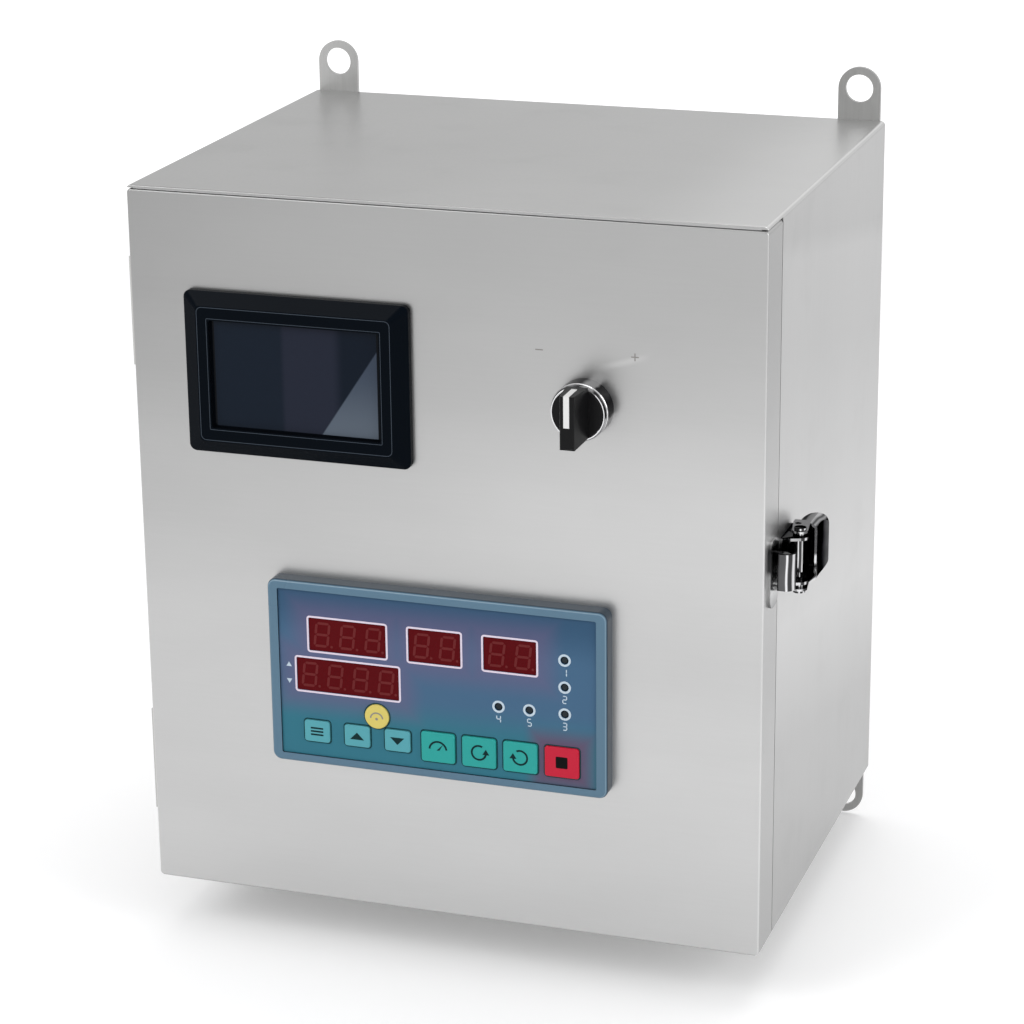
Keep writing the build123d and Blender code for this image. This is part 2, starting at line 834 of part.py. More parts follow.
# Selector: chrome bezel on a threaded barrel, knob with a long handle, white index, nut and contacts
selector_axis = Axis((selector_x, 0, selector_z), (0, -1, 0))
bezel_front = door_face + bezel_rise
barrel_rear = door_face - selector_barrel_depth
recess_radius = disk_radius + disk_clearance
recess_floor = bezel_front - recess_depth
bore = selector_shaft_radius + running_clearance
with BuildPart() as selector_bezel:
    with BuildSketch(Plane.XY.offset(selector_z)):
        with BuildLine():
            outside = [
                (recess_radius + bezel_rim, bezel_front),
                (recess_radius, bezel_front),
                (recess_radius, recess_floor),
                (bore, recess_floor),
                (bore, barrel_rear),
                (selector_barrel_radius, barrel_rear),
                (selector_barrel_radius, door_face),
                (bezel_radius, door_face),
                (bezel_radius, bezel_front - bezel_shoulder),
            ]
            profile = Polyline(*[(selector_x + radius, -distance) for radius, distance in outside])
            RadiusArc(profile @ 1, profile @ 0, -bezel_shoulder_radius)
        make_face()
    revolve(axis=selector_axis)
selector_bezel.part.label = "selector_bezel"
export_step(selector_bezel.part, "parts/selector_bezel.step")

disk_rear = recess_floor + disk_clearance
disk_front = bezel_front + disk_proud
handle_front = disk_front + handle_height


def handle_side(grow):
    # The handle's outline seen from its side, grown all round by a small amount
    top = selector_z + handle_reach + grow
    bottom = selector_z - handle_reach - grow
    front = handle_front + grow
    return [
        (-disk_front, selector_z - handle_waist - grow),
        (-front + handle_rounding, bottom),
        (-front, bottom + handle_rounding),
        (-front, top),
        (-disk_front, top),
    ]


with BuildPart() as selector_index:
    with BuildSketch(Plane.YZ.offset(selector_x)):
        with BuildLine():
            Polyline(*handle_side(index_proud), close=True)
        make_face()
        with BuildLine():
            Polyline(*handle_side(-index_inset), close=True)
        make_face(mode=Mode.SUBTRACT)
        with Locations((-handle_front, selector_z - index_down + handle_reach)):
            Rectangle(2 * (handle_height - index_start), 2 * handle_reach, mode=Mode.INTERSECT)
    extrude(amount=index_width / 2, both=True)
selector_index.part.label = "selector_index"
export_step(selector_index.part, "parts/selector_index.step")

handle_plane = Plane(origin=(selector_x, 0, selector_z), x_dir=(1, 0, 0), z_dir=(0, 0, 1))
with BuildPart() as selector_handle:
    with BuildSketch(Plane.YZ.offset(selector_x)):
        with BuildLine():
            Polyline(*handle_side(0), close=True)
        make_face()
    extrude(amount=handle_width, both=True)
    with BuildSketch(handle_plane):
        with BuildLine():
            Polyline(
                (-handle_width / 2, -disk_front),
                (-handle_front_width / 2, -handle_front),
                (handle_front_width / 2, -handle_front),
                (handle_width / 2, -disk_front),
                close=True,
            )
        make_face()
        fillet(vertices().group_by(Axis.Y)[0], radius=handle_rounding)
    extrude(amount=2 * handle_reach, both=True, mode=Mode.INTERSECT)

shaft_rear = barrel_rear + shaft_end
with BuildPart() as selector_knob:
    with BuildSketch(facing(shaft_rear, selector_x, selector_z)):
        Circle(selector_shaft_radius)
    extrude(amount=disk_rear - shaft_rear)
    with BuildSketch(facing(disk_rear, selector_x, selector_z)):
        Circle(disk_radius)
    extrude(amount=disk_front - disk_rear)
    fillet(selector_knob.edges().filter_by(GeomType.CIRCLE).sort_by(Axis.Y)[0], radius=disk_rounding)
    add(selector_handle.part)
    add(selector_index.part, mode=Mode.SUBTRACT)
selector_knob.part.label = "selector_knob"
export_step(selector_knob.part, "parts/selector_knob.step")

with BuildPart() as selector_nut:
    with BuildSketch(facing(door_inner - selector_nut_height, selector_x, selector_z)):
        RegularPolygon(selector_nut_flats / 2, 6, major_radius=False)
        Circle(selector_barrel_radius + running_clearance, mode=Mode.SUBTRACT)
    extrude(amount=selector_nut_height)
selector_nut.part.label = "selector_nut"
export_step(selector_nut.part, "parts/selector_nut.step")

contact_rear = barrel_rear - contact_depth
with BuildPart() as selector_contact_block:
    with BuildSketch(facing(contact_rear, selector_x, selector_z)):
        RectangleRounded(contact_width, contact_height, contact_corner)
    extrude(amount=contact_depth)
    with BuildSketch(facing(contact_rear, selector_x, selector_z)):
        with GridLocations(terminal_pitch_x, terminal_pitch_z, 2, 2):
            Rectangle(*terminal_pocket)
    extrude(amount=terminal_pocket_depth, mode=Mode.SUBTRACT)
    with BuildSketch(facing(barrel_rear, selector_x, selector_z)):
        RectangleRounded(contact_collar, contact_collar, 2 * contact_corner)
        Circle(selector_barrel_radius + selector_hole_clearance, mode=Mode.SUBTRACT)
    extrude(amount=contact_collar_depth)
selector_contact_block.part.label = "selector_contact_block"
export_step(selector_contact_block.part, "parts/selector_contact_block.step")

# Display windows, lamps and keys placed from the overlay's edges and the gaps between them
panel_front = door_face + panel_rise
overlay_front = panel_front - overlay_recess
overlay_rear = overlay_front - overlay_thickness
board_front = door_face
board_rear = board_front - board_thickness
shelf_rear = overlay_rear - shelf_thickness
display_space = overlay_width - display_left - 2 * display_gap - display_right
digit_pitch = display_space / sum(upper_digits)
display_height = (overlay_height - display_top - display_row_gap - display_bottom) / 2
upper_row_z = overlay_top - display_top - display_height / 2
lower_row_z = upper_row_z - display_height - display_row_gap
lower_width = lower_digits * digit_pitch
displays = [(vacuum_display_inset + lower_width / 2 - overlay_right, lower_row_z, lower_width)]
display_start = display_left - overlay_right
for digits in upper_digits:
    upper_width = digits * digit_pitch
    displays.append((display_start + upper_width / 2, upper_row_z, upper_width))
    display_start += upper_width + display_gap
lamp_x = overlay_right - lamp_right
lamp_z = overlay_top - lamp_top
lamp_foot = lamp_z - 2 * lamp_column_pitch
lamp_places = [(lamp_x, lamp_z - lamp_column_pitch * i) for i in range(3)]
lamp_places += [(lamp_x - step, lamp_foot) for step in lamp_row_steps]
key_pitch = (overlay_width - key_left - key_right) / key_count
key_middles = [key_left - overlay_right + key_pitch * (i + 0.5) for i in range(key_count)]
small_key = (key_pitch - small_key_gap, small_key_height)
large_key = (key_pitch - large_key_gap, large_key_height)
small_key_places = [(x, small_key_rise - overlay_top) for x in key_middles[:3]]
large_key_places = [(x, large_key_rise - overlay_top) for x in key_middles[3:]]
round_key_place = ((key_middles[1] + key_middles[2]) / 2, round_key_rise - overlay_top)

# Panel frame: a pocket for the overlay, a shelf behind it and a recess for the case
with BuildPart() as panel_frame:
    with BuildSketch(facing(door_face, panel_x, panel_z)):
        RectangleRounded(panel_width, panel_height, panel_radius)
    extrude(amount=panel_rise)
    fillet(panel_frame.faces().sort_by(Axis.Y)[0].edges(), radius=panel_rounding)
    with BuildSketch(facing(overlay_rear, panel_x, panel_z)):
        RectangleRounded(overlay_width + 2 * overlay_clearance, overlay_height + 2 * overlay_clearance, 1)
    extrude(amount=panel_front - overlay_rear, mode=Mode.SUBTRACT)
    with BuildSketch(facing(shelf_rear, panel_x, panel_z)):
        RectangleRounded(overlay_width - 2 * panel_shelf, overlay_height - 2 * panel_shelf, 1)
    extrude(amount=shelf_thickness, mode=Mode.SUBTRACT)
    with BuildSketch(facing(door_face, panel_x, panel_z)):
        RectangleRounded(case_width + 2 * case_clearance, case_height + 2 * case_clearance, 1)
    extrude(amount=shelf_rear - door_face, mode=Mode.SUBTRACT)
panel_frame.part.label = "panel_frame"
export_step(panel_frame.part, "parts/panel_frame.step")

with BuildPart() as panel_overlay:
    with BuildSketch(facing(overlay_rear, panel_x, panel_z)):
        RectangleRounded(overlay_width, overlay_height, 1 - overlay_clearance)
        for x, z, width in displays:
            with Locations((x, z)):
                window = [side + 2 * lens_clearance for side in (width, display_height)]
                RectangleRounded(*window, 0.5 + lens_clearance, mode=Mode.SUBTRACT)
        with Locations(*lamp_places):
            Circle(lamp_radius + lamp_clearance, mode=Mode.SUBTRACT)
        for size, places in ((small_key, small_key_places), (large_key, large_key_places)):
            with Locations(*places):
                key_hole = [side + 2 * key_clearance for side in size]
                RectangleRounded(*key_hole, key_radius + key_clearance, mode=Mode.SUBTRACT)
        with Locations(round_key_place):
            Circle(round_key_radius + key_clearance, mode=Mode.SUBTRACT)
    extrude(amount=overlay_thickness)
panel_overlay.part.label = "panel_overlay"
export_step(panel_overlay.part, "parts/panel_overlay.step")

lens_rear = overlay_front - lens_recess - lens_thickness
with BuildPart() as display_lenses:
    with BuildSketch(facing(lens_rear, panel_x, panel_z)):
        for x, z, width in displays:
            with Locations((x, z)):
                RectangleRounded(width, display_height, 0.5)
    extrude(amount=lens_thickness)
display_lenses.part.label = "display_lenses"
export_step(display_lenses.part, "parts/display_lenses.step")

with BuildPart() as display_modules:
    with BuildSketch(facing(board_front, panel_x, panel_z)):
        for x, z, width in displays:
            with Locations((x, z)):
                Rectangle(width - 2 * module_margin, display_height - 2 * module_margin)
    extrude(amount=lens_rear - board_front)
display_modules.part.label = "display_modules"
export_step(display_modules.part, "parts/display_modules.step")

with BuildPart() as status_lamps:
    with BuildSketch(facing(board_front, panel_x, panel_z)):
        with Locations(*lamp_places):
            Circle(lamp_radius)
    extrude(amount=overlay_front - lamp_recess - board_front)
    fillet(status_lamps.faces().group_by(Axis.Y)[0].edges(), radius=lamp_rounding)
status_lamps.part.label = "status_lamps"
export_step(status_lamps.part, "parts/status_lamps.step")

with BuildPart() as panel_board:
    with BuildSketch(facing(board_rear, panel_x, panel_z)):
        board_size = [side - 2 * (case_wall + cut_clearance) for side in (case_width, case_height)]
        RectangleRounded(*board_size, 1)
    extrude(amount=board_thickness)
panel_board.part.label = "panel_board"
export_step(panel_board.part, "parts/panel_board.step")

# Keys: a cap through the overlay, a flange behind it, and a stem over its switch
flange_front = overlay_rear - key_lift
flange_rear = flange_front - key_flange_thickness
switch_front = board_front + switch_body
switch_top = switch_front + switch_button
stem_rear = switch_top + key_travel + stem_gap
key_plan = {
    "key_set": (small_key_places[0], small_key),
    "key_up": (small_key_places[1], small_key),
    "key_down": (small_key_places[2], small_key),
    "key_vacuum": (large_key_places[0], large_key),
    "key_tumble": (large_key_places[1], large_key),
    "key_reverse": (large_key_places[2], large_key),
    "key_stop": (large_key_places[3], large_key),
    "key_vacuum_set": (round_key_place, None),
}
for name, (place, size) in key_plan.items():
    key_x = panel_x + place[0]
    key_z = panel_z + place[1]
    with BuildPart() as key:
        with BuildSketch(facing(flange_front, key_x, key_z)):
            if size:
                RectangleRounded(*size, key_radius)
            else:
                Circle(round_key_radius)
        extrude(amount=overlay_front + key_rise - flange_front)
        fillet(key.faces().sort_by(Axis.Y)[0].edges(), radius=key_edge)
        with BuildSketch(facing(flange_rear, key_x, key_z)):
            if size:
                flange_size = [side + 2 * key_flange for side in size]
                RectangleRounded(*flange_size, key_radius + key_flange)
            else:
                Circle(round_key_radius + key_flange)
        extrude(amount=key_flange_thickness)
        with BuildSketch(facing(stem_rear, key_x, key_z)):
            Circle(key_stem_radius)
        extrude(amount=flange_rear - stem_rear)
    key.part.label = name
    export_step(key.part, f"parts/{name}.step")

with BuildPart() as key_switches:
    switch_places = small_key_places + large_key_places + [round_key_place]
    with BuildSketch(facing(board_front, panel_x, panel_z)):
        with Locations(*switch_places):
            Rectangle(switch_side, switch_side)
    extrude(amount=switch_body)
    with BuildSketch(facing(switch_front, panel_x, panel_z)):
        with Locations(*switch_places):
            Circle(switch_button_radius)
    extrude(amount=switch_button)
key_switches.part.label = "key_switches"
export_step(key_switches.part, "parts/key_switches.step")

case_front = shelf_rear - stem_gap
case_rear = case_front - case_depth
case_floor = case_rear + case_wall
with BuildPart() as panel_case:
    with BuildSketch(facing(case_rear, panel_x, panel_z)):
        RectangleRounded(case_width, case_height, 1)
    extrude(amount=case_depth)
    with BuildSketch(facing(case_floor, panel_x, panel_z)):
        Rectangle(case_width - 2 * case_wall, case_height - 2 * case_wall)
    extrude(amount=case_depth, mode=Mode.SUBTRACT)
    with BuildSketch(facing(case_floor, panel_x, panel_z)):
        with GridLocations(case_width - 2 * case_post_inset, case_height - 2 * case_post_inset, 2, 2):
            Circle(case_post_radius)
    extrude(amount=board_rear - case_floor)
    with BuildSketch(facing(case_rear, panel_x, panel_z)):
        with GridLocations(0, case_vent_pitch, 1, vent_count):
            SlotOverall(*case_vent)
        plug_z = case_plug_rise - case_height / 2
        with Locations((-case_width / 3, plug_z), (case_width / 3, plug_z)):
            Rectangle(*case_plug)
    extrude(amount=case_wall, mode=Mode.SUBTRACT)
panel_case.part.label = "panel_case"
export_step(panel_case.part, "parts/panel_case.step")

with BuildPart() as panel_clamps:
    for side in (-1, 1):
        clamp_x = panel_x + side * (case_width + clamp_height) / 2
        with BuildSketch(facing(door_inner - clamp_reach, clamp_x, panel_z)):
            with GridLocations(0, panel_clamp_pitch, 1, 2):
                RectangleRounded(clamp_height, clamp_width, 1)
        extrude(amount=clamp_block)
        with BuildSketch(facing(door_inner - clamp_screw_length, clamp_x, panel_z)):
            with GridLocations(0, panel_clamp_pitch, 1, 2):
                Circle(clamp_screw_radius)
        extrude(amount=clamp_screw_length)
panel_clamps.part.label = "panel_clamps"
export_step(panel_clamps.part, "parts/panel_clamps.step")

# Mounting plate on four welded studs
with BuildPart() as mounting_plate:
    with BuildSketch(facing(plate_rear)):
        RectangleRounded(plate_width, plate_height, plate_corner)
        with GridLocations(stud_spacing_x, stud_spacing_z, 2, 2):
            Circle(stud_radius + stud_clearance, mode=Mode.SUBTRACT)
    extrude(amount=plate_thickness)
mounting_plate.part.label = "mounting_plate"
export_step(mounting_plate.part, "parts/mounting_plate.step")

with BuildPart() as plate_studs:
    with BuildSketch(facing(shell_rear)):
        with GridLocations(stud_spacing_x, stud_spacing_z, 2, 2):
            Circle(stud_radius + stud_boss)
    extrude(amount=plate_gap)
    with BuildSketch(facing(plate_rear)):
        with GridLocations(stud_spacing_x, stud_spacing_z, 2, 2):
            Circle(stud_radius)
    extrude(amount=plate_thickness + stud_nut_height + stud_end)
plate_studs.part.label = "plate_studs"
export_step(plate_studs.part, "parts/plate_studs.step")

with BuildPart() as plate_nuts:
    with BuildSketch(facing(plate_front)):
        with GridLocations(stud_spacing_x, stud_spacing_z, 2, 2):
            RegularPolygon(stud_nut_flats / 2, 6, major_radius=False)
            Circle(stud_radius + running_clearance, mode=Mode.SUBTRACT)
    extrude(amount=stud_nut_height)
plate_nuts.part.label = "plate_nuts"
export_step(plate_nuts.part, "parts/plate_nuts.step")

# Top hat rails with slots
rail_end = plate_right - rail_inset
upper_rail_start = breaker_x - breaker_width / 2 - rail_lead
hat_width = rail_width - 2 * rail_brim
with BuildPart() as din_rails:
    for start, z in ((upper_rail_start, upper_rail_z), (-rail_end, middle_rail_z)):
        middle = (start + rail_end) / 2
        rail_length = rail_end - start
        with BuildSketch(facing(plate_front, middle, z)):
            Rectangle(rail_length, hat_width)
            with GridLocations(rail_slot_pitch, 0, int(rail_length // rail_slot_pitch), 1):
                SlotOverall(*rail_slot, mode=Mode.SUBTRACT)
        extrude(amount=rail_sheet)
        with BuildSketch(facing(plate_front, middle, z)):
            with GridLocations(0, hat_width - rail_sheet, 1, 2):
                Rectangle(rail_length, rail_sheet)
        extrude(amount=rail_depth)
        with BuildSketch(facing(rail_front - rail_sheet, middle, z)):
            with GridLocations(0, rail_width - rail_brim - rail_sheet, 1, 2):
                Rectangle(rail_length, rail_brim + rail_sheet)
        extrude(amount=rail_sheet)
din_rails.part.label = "din_rails"
export_step(din_rails.part, "parts/din_rails.step")

# Wiring ducts: open troughs with comb walls, and their snap covers
with BuildPart() as wire_ducts:
    for z in duct_places:
        with BuildSketch(facing(plate_front, 0, z)):
            Rectangle(duct_length, duct_height)
        extrude(amount=duct_wall)
        with BuildSketch(facing(plate_front, 0, z)):
            with GridLocations(0, duct_height - duct_wall, 1, 2):
                Rectangle(duct_length, duct_wall)
        extrude(amount=duct_depth)
        with BuildSketch(facing(plate_front + comb_foot, 0, z)):
            with GridLocations(comb_pitch, 0, int(duct_length // comb_pitch) - 1, 1):
                Rectangle(comb_slot, duct_height)
        extrude(amount=duct_depth, mode=Mode.SUBTRACT)
wire_ducts.part.label = "wire_ducts"
export_step(wire_ducts.part, "parts/wire_ducts.step")

with BuildPart() as duct_covers:
    for z in duct_places:
        with BuildSketch(facing(plate_front + duct_depth, 0, z)):
            Rectangle(duct_length, duct_height + 2 * duct_cover_margin)
        extrude(amount=duct_wall)
duct_covers.part.label = "duct_covers"
export_step(duct_covers.part, "parts/duct_covers.step")

# Frequency inverter: finned heatsink behind, vented housing, terminal cover
heatsink_front = plate_front + heatsink_depth
with BuildPart() as inverter_heatsink:
    with BuildSketch(facing(heatsink_front - heatsink_base, inverter_x, inverter_z)):
        Rectangle(inverter_width, inverter_height)
    extrude(amount=heatsink_base)
    with BuildSketch(facing(plate_front, inverter_x, inverter_z)):
        with GridLocations(fin_pitch, 0, int(inverter_width // fin_pitch), 1):
            Rectangle(fin_thickness, inverter_height - 2 * fin_inset)
    extrude(amount=heatsink_depth - heatsink_base)
inverter_heatsink.part.label = "inverter_heatsink"
export_step(inverter_heatsink.part, "parts/inverter_heatsink.step")

inverter_front = plate_front + inverter_depth
cover_rear = inverter_front - cover_thickness
cover_z = inverter_z - inverter_height / 2 + cover_height / 2 + cover_rise
cover_width = inverter_width - 2 * cover_margin
vent_distance = (heatsink_front + inverter_front) / 2 - cover_thickness
with BuildPart() as inverter_housing:
    with BuildSketch(facing(heatsink_front, inverter_x, inverter_z)):
        RectangleRounded(inverter_width, inverter_height, inverter_corner)
    extrude(amount=inverter_front - heatsink_front)
    fillet(inverter_housing.faces().sort_by(Axis.Y)[0].edges(), radius=inverter_rounding)
    with BuildSketch(facing(cover_rear, inverter_x, cover_z)):
        Rectangle(cover_width, cover_height)
    extrude(amount=cover_thickness, mode=Mode.SUBTRACT)
    with BuildSketch(facing(inverter_front - front_vent_depth, inverter_x, inverter_z + front_vent_rise)):
        with GridLocations(0, front_vent_pitch, 1, vent_count):
            SlotOverall(*front_vent)
    extrude(amount=front_vent_depth, mode=Mode.SUBTRACT)
    with BuildSketch(Plane.YZ.offset(inverter_x - inverter_width / 2)):
        with Locations((-vent_distance, inverter_z + inverter_vent_rise)):
            with GridLocations(inverter_vent_pitch, 0, vent_count + 1, 1):
                SlotOverall(*inverter_vent, rotation=90)
    extrude(amount=inverter_width, mode=Mode.SUBTRACT)
inverter_housing.part.label = "inverter_housing"
export_step(inverter_housing.part, "parts/inverter_housing.step")

with BuildPart() as inverter_cover:
    with BuildSketch(facing(cover_rear, inverter_x, cover_z)):
        Rectangle(cover_width - 2 * cover_clearance, cover_height - 2 * cover_clearance)
        with Locations((0, -cover_height / 2)):
            with GridLocations(cable_notch_pitch, 0, 2, 1):
                Circle(cable_notch, mode=Mode.SUBTRACT)
    extrude(amount=cover_thickness + cover_proud)
inverter_cover.part.label = "inverter_cover"
export_step(inverter_cover.part, "parts/inverter_cover.step")

# Circuit breaker: two poles, a nose with a pocket, and a toggle across both poles
breaker_step = rail_front + breaker_shoulder
toggle_distance = rail_front + breaker_depth - toggle_inset
pocket_width = toggle_width + 2 * toggle_side_gap
with BuildPart() as circuit_breaker:
    with BuildSketch(facing(rail_front, breaker_x, upper_rail_z)):
        Rectangle(breaker_width, breaker_height)
    extrude(amount=breaker_shoulder)
    with BuildSketch(facing(breaker_step, breaker_x, upper_rail_z)):
        Rectangle(breaker_width, breaker_nose)
    extrude(amount=breaker_depth - breaker_shoulder)
    chamfer(circuit_breaker.faces().sort_by(Axis.Y)[0].edges().filter_by(Axis.X), length=breaker_chamfer)
    with BuildSketch(Plane.YZ.offset(breaker_x - pocket_width / 2)):
        with Locations((-toggle_distance, upper_rail_z)):
            Circle(toggle_hub + toggle_clearance)
            with Locations((-toggle_inset, 0)):
                Rectangle(2 * toggle_inset, toggle_pocket)
    extrude(amount=pocket_width, mode=Mode.SUBTRACT)
    with BuildSketch(facing(breaker_step - screw_well_depth, breaker_x, upper_rail_z)):
        with GridLocations(breaker_width / 2, screw_well_pitch, 2, 2):
            Circle(screw_well_radius)
    extrude(amount=screw_well_depth, mode=Mode.SUBTRACT)
circuit_breaker.part.label = "circuit_breaker"
export_step(circuit_breaker.part, "parts/circuit_breaker.step")

toggle_out = cos(radians(toggle_lean))
toggle_up = sin(radians(toggle_lean))
with BuildPart() as breaker_toggle:
    with BuildSketch(Plane.YZ.offset(breaker_x - toggle_width / 2)):
        with Locations((-toggle_distance, upper_rail_z)):
            Circle(toggle_hub)
            with Locations((-toggle_reach * toggle_out, toggle_reach * toggle_up)):
                Circle(toggle_tip_radius)
            with Locations((-toggle_neck * toggle_out, toggle_neck * toggle_up)):
                Circle(toggle_root_radius)
        make_hull()
    extrude(amount=toggle_width)
breaker_toggle.part.label = "breaker_toggle"
export_step(breaker_toggle.part, "parts/breaker_toggle.step")

# Power supply on the upper rail: perforated front and a terminal recess
supply_front = rail_front + supply_depth
supply_terminal_z = upper_rail_z - supply_height / 2 + supply_terminal_rise
with BuildPart() as power_supply:
    with BuildSketch(facing(rail_front, supply_x, upper_rail_z)):
        Rectangle(supply_width, supply_height)
    extrude(amount=supply_depth)
    chamfer(power_supply.faces().sort_by(Axis.Y)[0].edges().filter_by(Axis.X), length=supply_chamfer)
    with BuildSketch(facing(supply_front - supply_vent_depth, supply_x, upper_rail_z + supply_vent_rise)):
        with GridLocations(supply_vent_pitch, 0, vent_count, 1):
            SlotOverall(*supply_vent, rotation=90)
    extrude(amount=supply_vent_depth, mode=Mode.SUBTRACT)
    with BuildSketch(facing(supply_front - supply_terminal_depth, supply_x, supply_terminal_z)):
        Rectangle(*supply_terminal)
    extrude(amount=supply_terminal_depth, mode=Mode.SUBTRACT)
power_supply.part.label = "power_supply"
export_step(power_supply.part, "parts/power_supply.step")

# Contactors: stepped bodies with terminal recesses
contactor_front = rail_front + contactor_depth
contactor_shoulder = rail_front + contactor_step
contactor_middles = [(x, middle_rail_z) for x in contactor_places]
with BuildPart() as contactors:
    with BuildSketch(facing(rail_front)):
        with Locations(*contactor_middles):
            Rectangle(contactor_width, contactor_height)
    extrude(amount=contactor_step)
    with BuildSketch(facing(contactor_shoulder)):
        with Locations(*contactor_middles):
            RectangleRounded(contactor_width - 2 * contactor_nose_inset, contactor_nose, contactor_corner)
    extrude(amount=contactor_depth - contactor_step)
    with BuildSketch(facing(contactor_shoulder - contactor_well_depth)):
        with Locations(*contactor_middles):
            with GridLocations(*contactor_well_pitch, 4, 2):
                Rectangle(*contactor_well)
    extrude(amount=contactor_well_depth, mode=Mode.SUBTRACT)
    with BuildSketch(facing(contactor_front - contactor_button_depth)):
        with Locations(*contactor_middles):
            Rectangle(*contactor_button)
    extrude(amount=contactor_button_depth, mode=Mode.SUBTRACT)
contactors.part.label = "contactors"
export_step(contactors.part, "parts/contactors.step")

# Terminal blocks side by side on the middle rail
with BuildPart() as terminal_blocks:
    for i in range(terminal_count):
        with BuildSketch(Plane.YZ.offset(terminal_start + terminal_pitch * i)):
            with BuildLine():
                Polyline(
                    (-rail_front, middle_rail_z - terminal_height / 2),
                    (-rail_front - terminal_shoulder, middle_rail_z - terminal_height / 2),
                    (-rail_front - terminal_depth, middle_rail_z - terminal_crest / 2),
                    (-rail_front - terminal_depth, middle_rail_z + terminal_crest / 2),
                    (-rail_front - terminal_shoulder, middle_rail_z + terminal_height / 2),
                    (-rail_front, middle_rail_z + terminal_height / 2),
                    close=True,
                )
            make_face()
            with Locations((-rail_front - terminal_depth, middle_rail_z)):
                Rectangle(*terminal_notch, mode=Mode.SUBTRACT)
        extrude(amount=terminal_pitch - terminal_play)
terminal_blocks.part.label = "terminal_blocks"
export_step(terminal_blocks.part, "parts/terminal_blocks.step")

earth_x = plate_right - earth_inset
with BuildPart() as earth_stud:
    with BuildSketch(facing(plate_front, earth_x, earth_rise)):
        RegularPolygon(earth_flats / 2, 6, major_radius=False)
    extrude(amount=earth_nut_height)
    with BuildSketch(facing(plate_front, earth_x, earth_rise)):
        Circle(earth_radius)
    extrude(amount=earth_length)
    with BuildSketch(facing(plate_front + earth_nut_height + earth_washer_gap, earth_x, earth_rise)):
        RegularPolygon(earth_nut_flats / 2, 6, major_radius=False)
    extrude(amount=earth_nut_height)
earth_stud.part.label = "earth_stud"
export_step(earth_stud.part, "parts/earth_stud.step")

# Cable glands through the floor
gland_top = -half_height + gland_thread_length
hex_bottom = -half_height - gland_hex_height
neck_bottom = hex_bottom - gland_neck_length
seal_bottom = neck_bottom - seal_reach
with BuildPart() as gland_bodies:
    with BuildSketch(Plane.XY.offset(-half_height)):
        with Locations(*gland_places):
            Circle(gland_thread_radius)
    extrude(amount=gland_thread_length)
    with BuildSketch(Plane.XY.offset(hex_bottom)):
        with Locations(*gland_places):
            RegularPolygon(gland_flats / 2, 6, major_radius=False)
    extrude(amount=gland_hex_height)
    with BuildSketch(Plane.XY.offset(neck_bottom)):
        with Locations(*gland_places):
            Circle(gland_neck_radius)
    extrude(amount=gland_neck_length)
    with BuildSketch(Plane.XY.offset(neck_bottom)):
        with Locations(*gland_places):
            Circle(gland_bore_radius)
    extrude(amount=gland_top - neck_bottom, mode=Mode.SUBTRACT)
gland_bodies.part.label = "gland_bodies"
export_step(gland_bodies.part, "parts/gland_bodies.step")

with BuildPart() as gland_seals:
    with BuildSketch(Plane.XY.offset(seal_bottom)):
        with Locations(*gland_places):
            Circle(gland_bore_radius - running_clearance)
            Circle(seal_bore_radius, mode=Mode.SUBTRACT)
    extrude(amount=seal_length)
gland_seals.part.label = "gland_seals"
export_step(gland_seals.part, "parts/gland_seals.step")

cap_top = hex_bottom - gland_cap_gap
cap_bottom = neck_bottom - gland_cap_wall
with BuildPart() as gland_caps:
    with BuildSketch(Plane.XY.offset(cap_bottom)):
        with Locations(*gland_places):
            RegularPolygon(gland_flats / 2 - gland_cap_margin, 6, major_radius=False)
    extrude(amount=cap_top - cap_bottom)
    chamfer(gland_caps.faces().group_by(Axis.Z)[0].edges(), length=gland_cap_chamfer)
    with BuildSketch(Plane.XY.offset(seal_bottom)):
        with Locations(*gland_places):
            Circle(gland_neck_radius + gland_cap_clearance)
    extrude(amount=cap_top - seal_bottom, mode=Mode.SUBTRACT)
    with BuildSketch(Plane.XY.offset(cap_bottom)):
        with Locations(*gland_places):
            Circle(seal_bore_radius + gland_cap_margin)
    extrude(amount=gland_cap_wall, mode=Mode.SUBTRACT)
gland_caps.part.label = "gland_caps"
export_step(gland_caps.part, "parts/gland_caps.step")

with BuildPart() as gland_locknuts:
    with BuildSketch(Plane.XY.offset(-half_height + sheet)):
        with Locations(*gland_places):
            RegularPolygon(gland_flats / 2 + sheet, 6, major_radius=False)
            Circle(gland_thread_radius + running_clearance, mode=Mode.SUBTRACT)
    extrude(amount=gland_locknut_height)
gland_locknuts.part.label = "gland_locknuts"
export_step(gland_locknuts.part, "parts/gland_locknuts.step")
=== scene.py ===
import math
import bpy
import numpy as np
from mathutils import Matrix, Vector


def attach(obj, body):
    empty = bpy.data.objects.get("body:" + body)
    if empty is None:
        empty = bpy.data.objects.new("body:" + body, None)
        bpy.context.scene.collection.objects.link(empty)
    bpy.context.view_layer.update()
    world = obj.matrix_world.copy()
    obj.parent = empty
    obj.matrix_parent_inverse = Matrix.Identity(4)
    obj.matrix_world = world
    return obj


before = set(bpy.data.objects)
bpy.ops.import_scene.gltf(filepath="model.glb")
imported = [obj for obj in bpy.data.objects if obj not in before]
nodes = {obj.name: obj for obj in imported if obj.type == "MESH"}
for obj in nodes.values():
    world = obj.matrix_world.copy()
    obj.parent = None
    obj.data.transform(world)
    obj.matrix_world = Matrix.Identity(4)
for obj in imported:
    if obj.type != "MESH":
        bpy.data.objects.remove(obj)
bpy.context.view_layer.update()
mm = 0.001
print("stage: frame loaded")


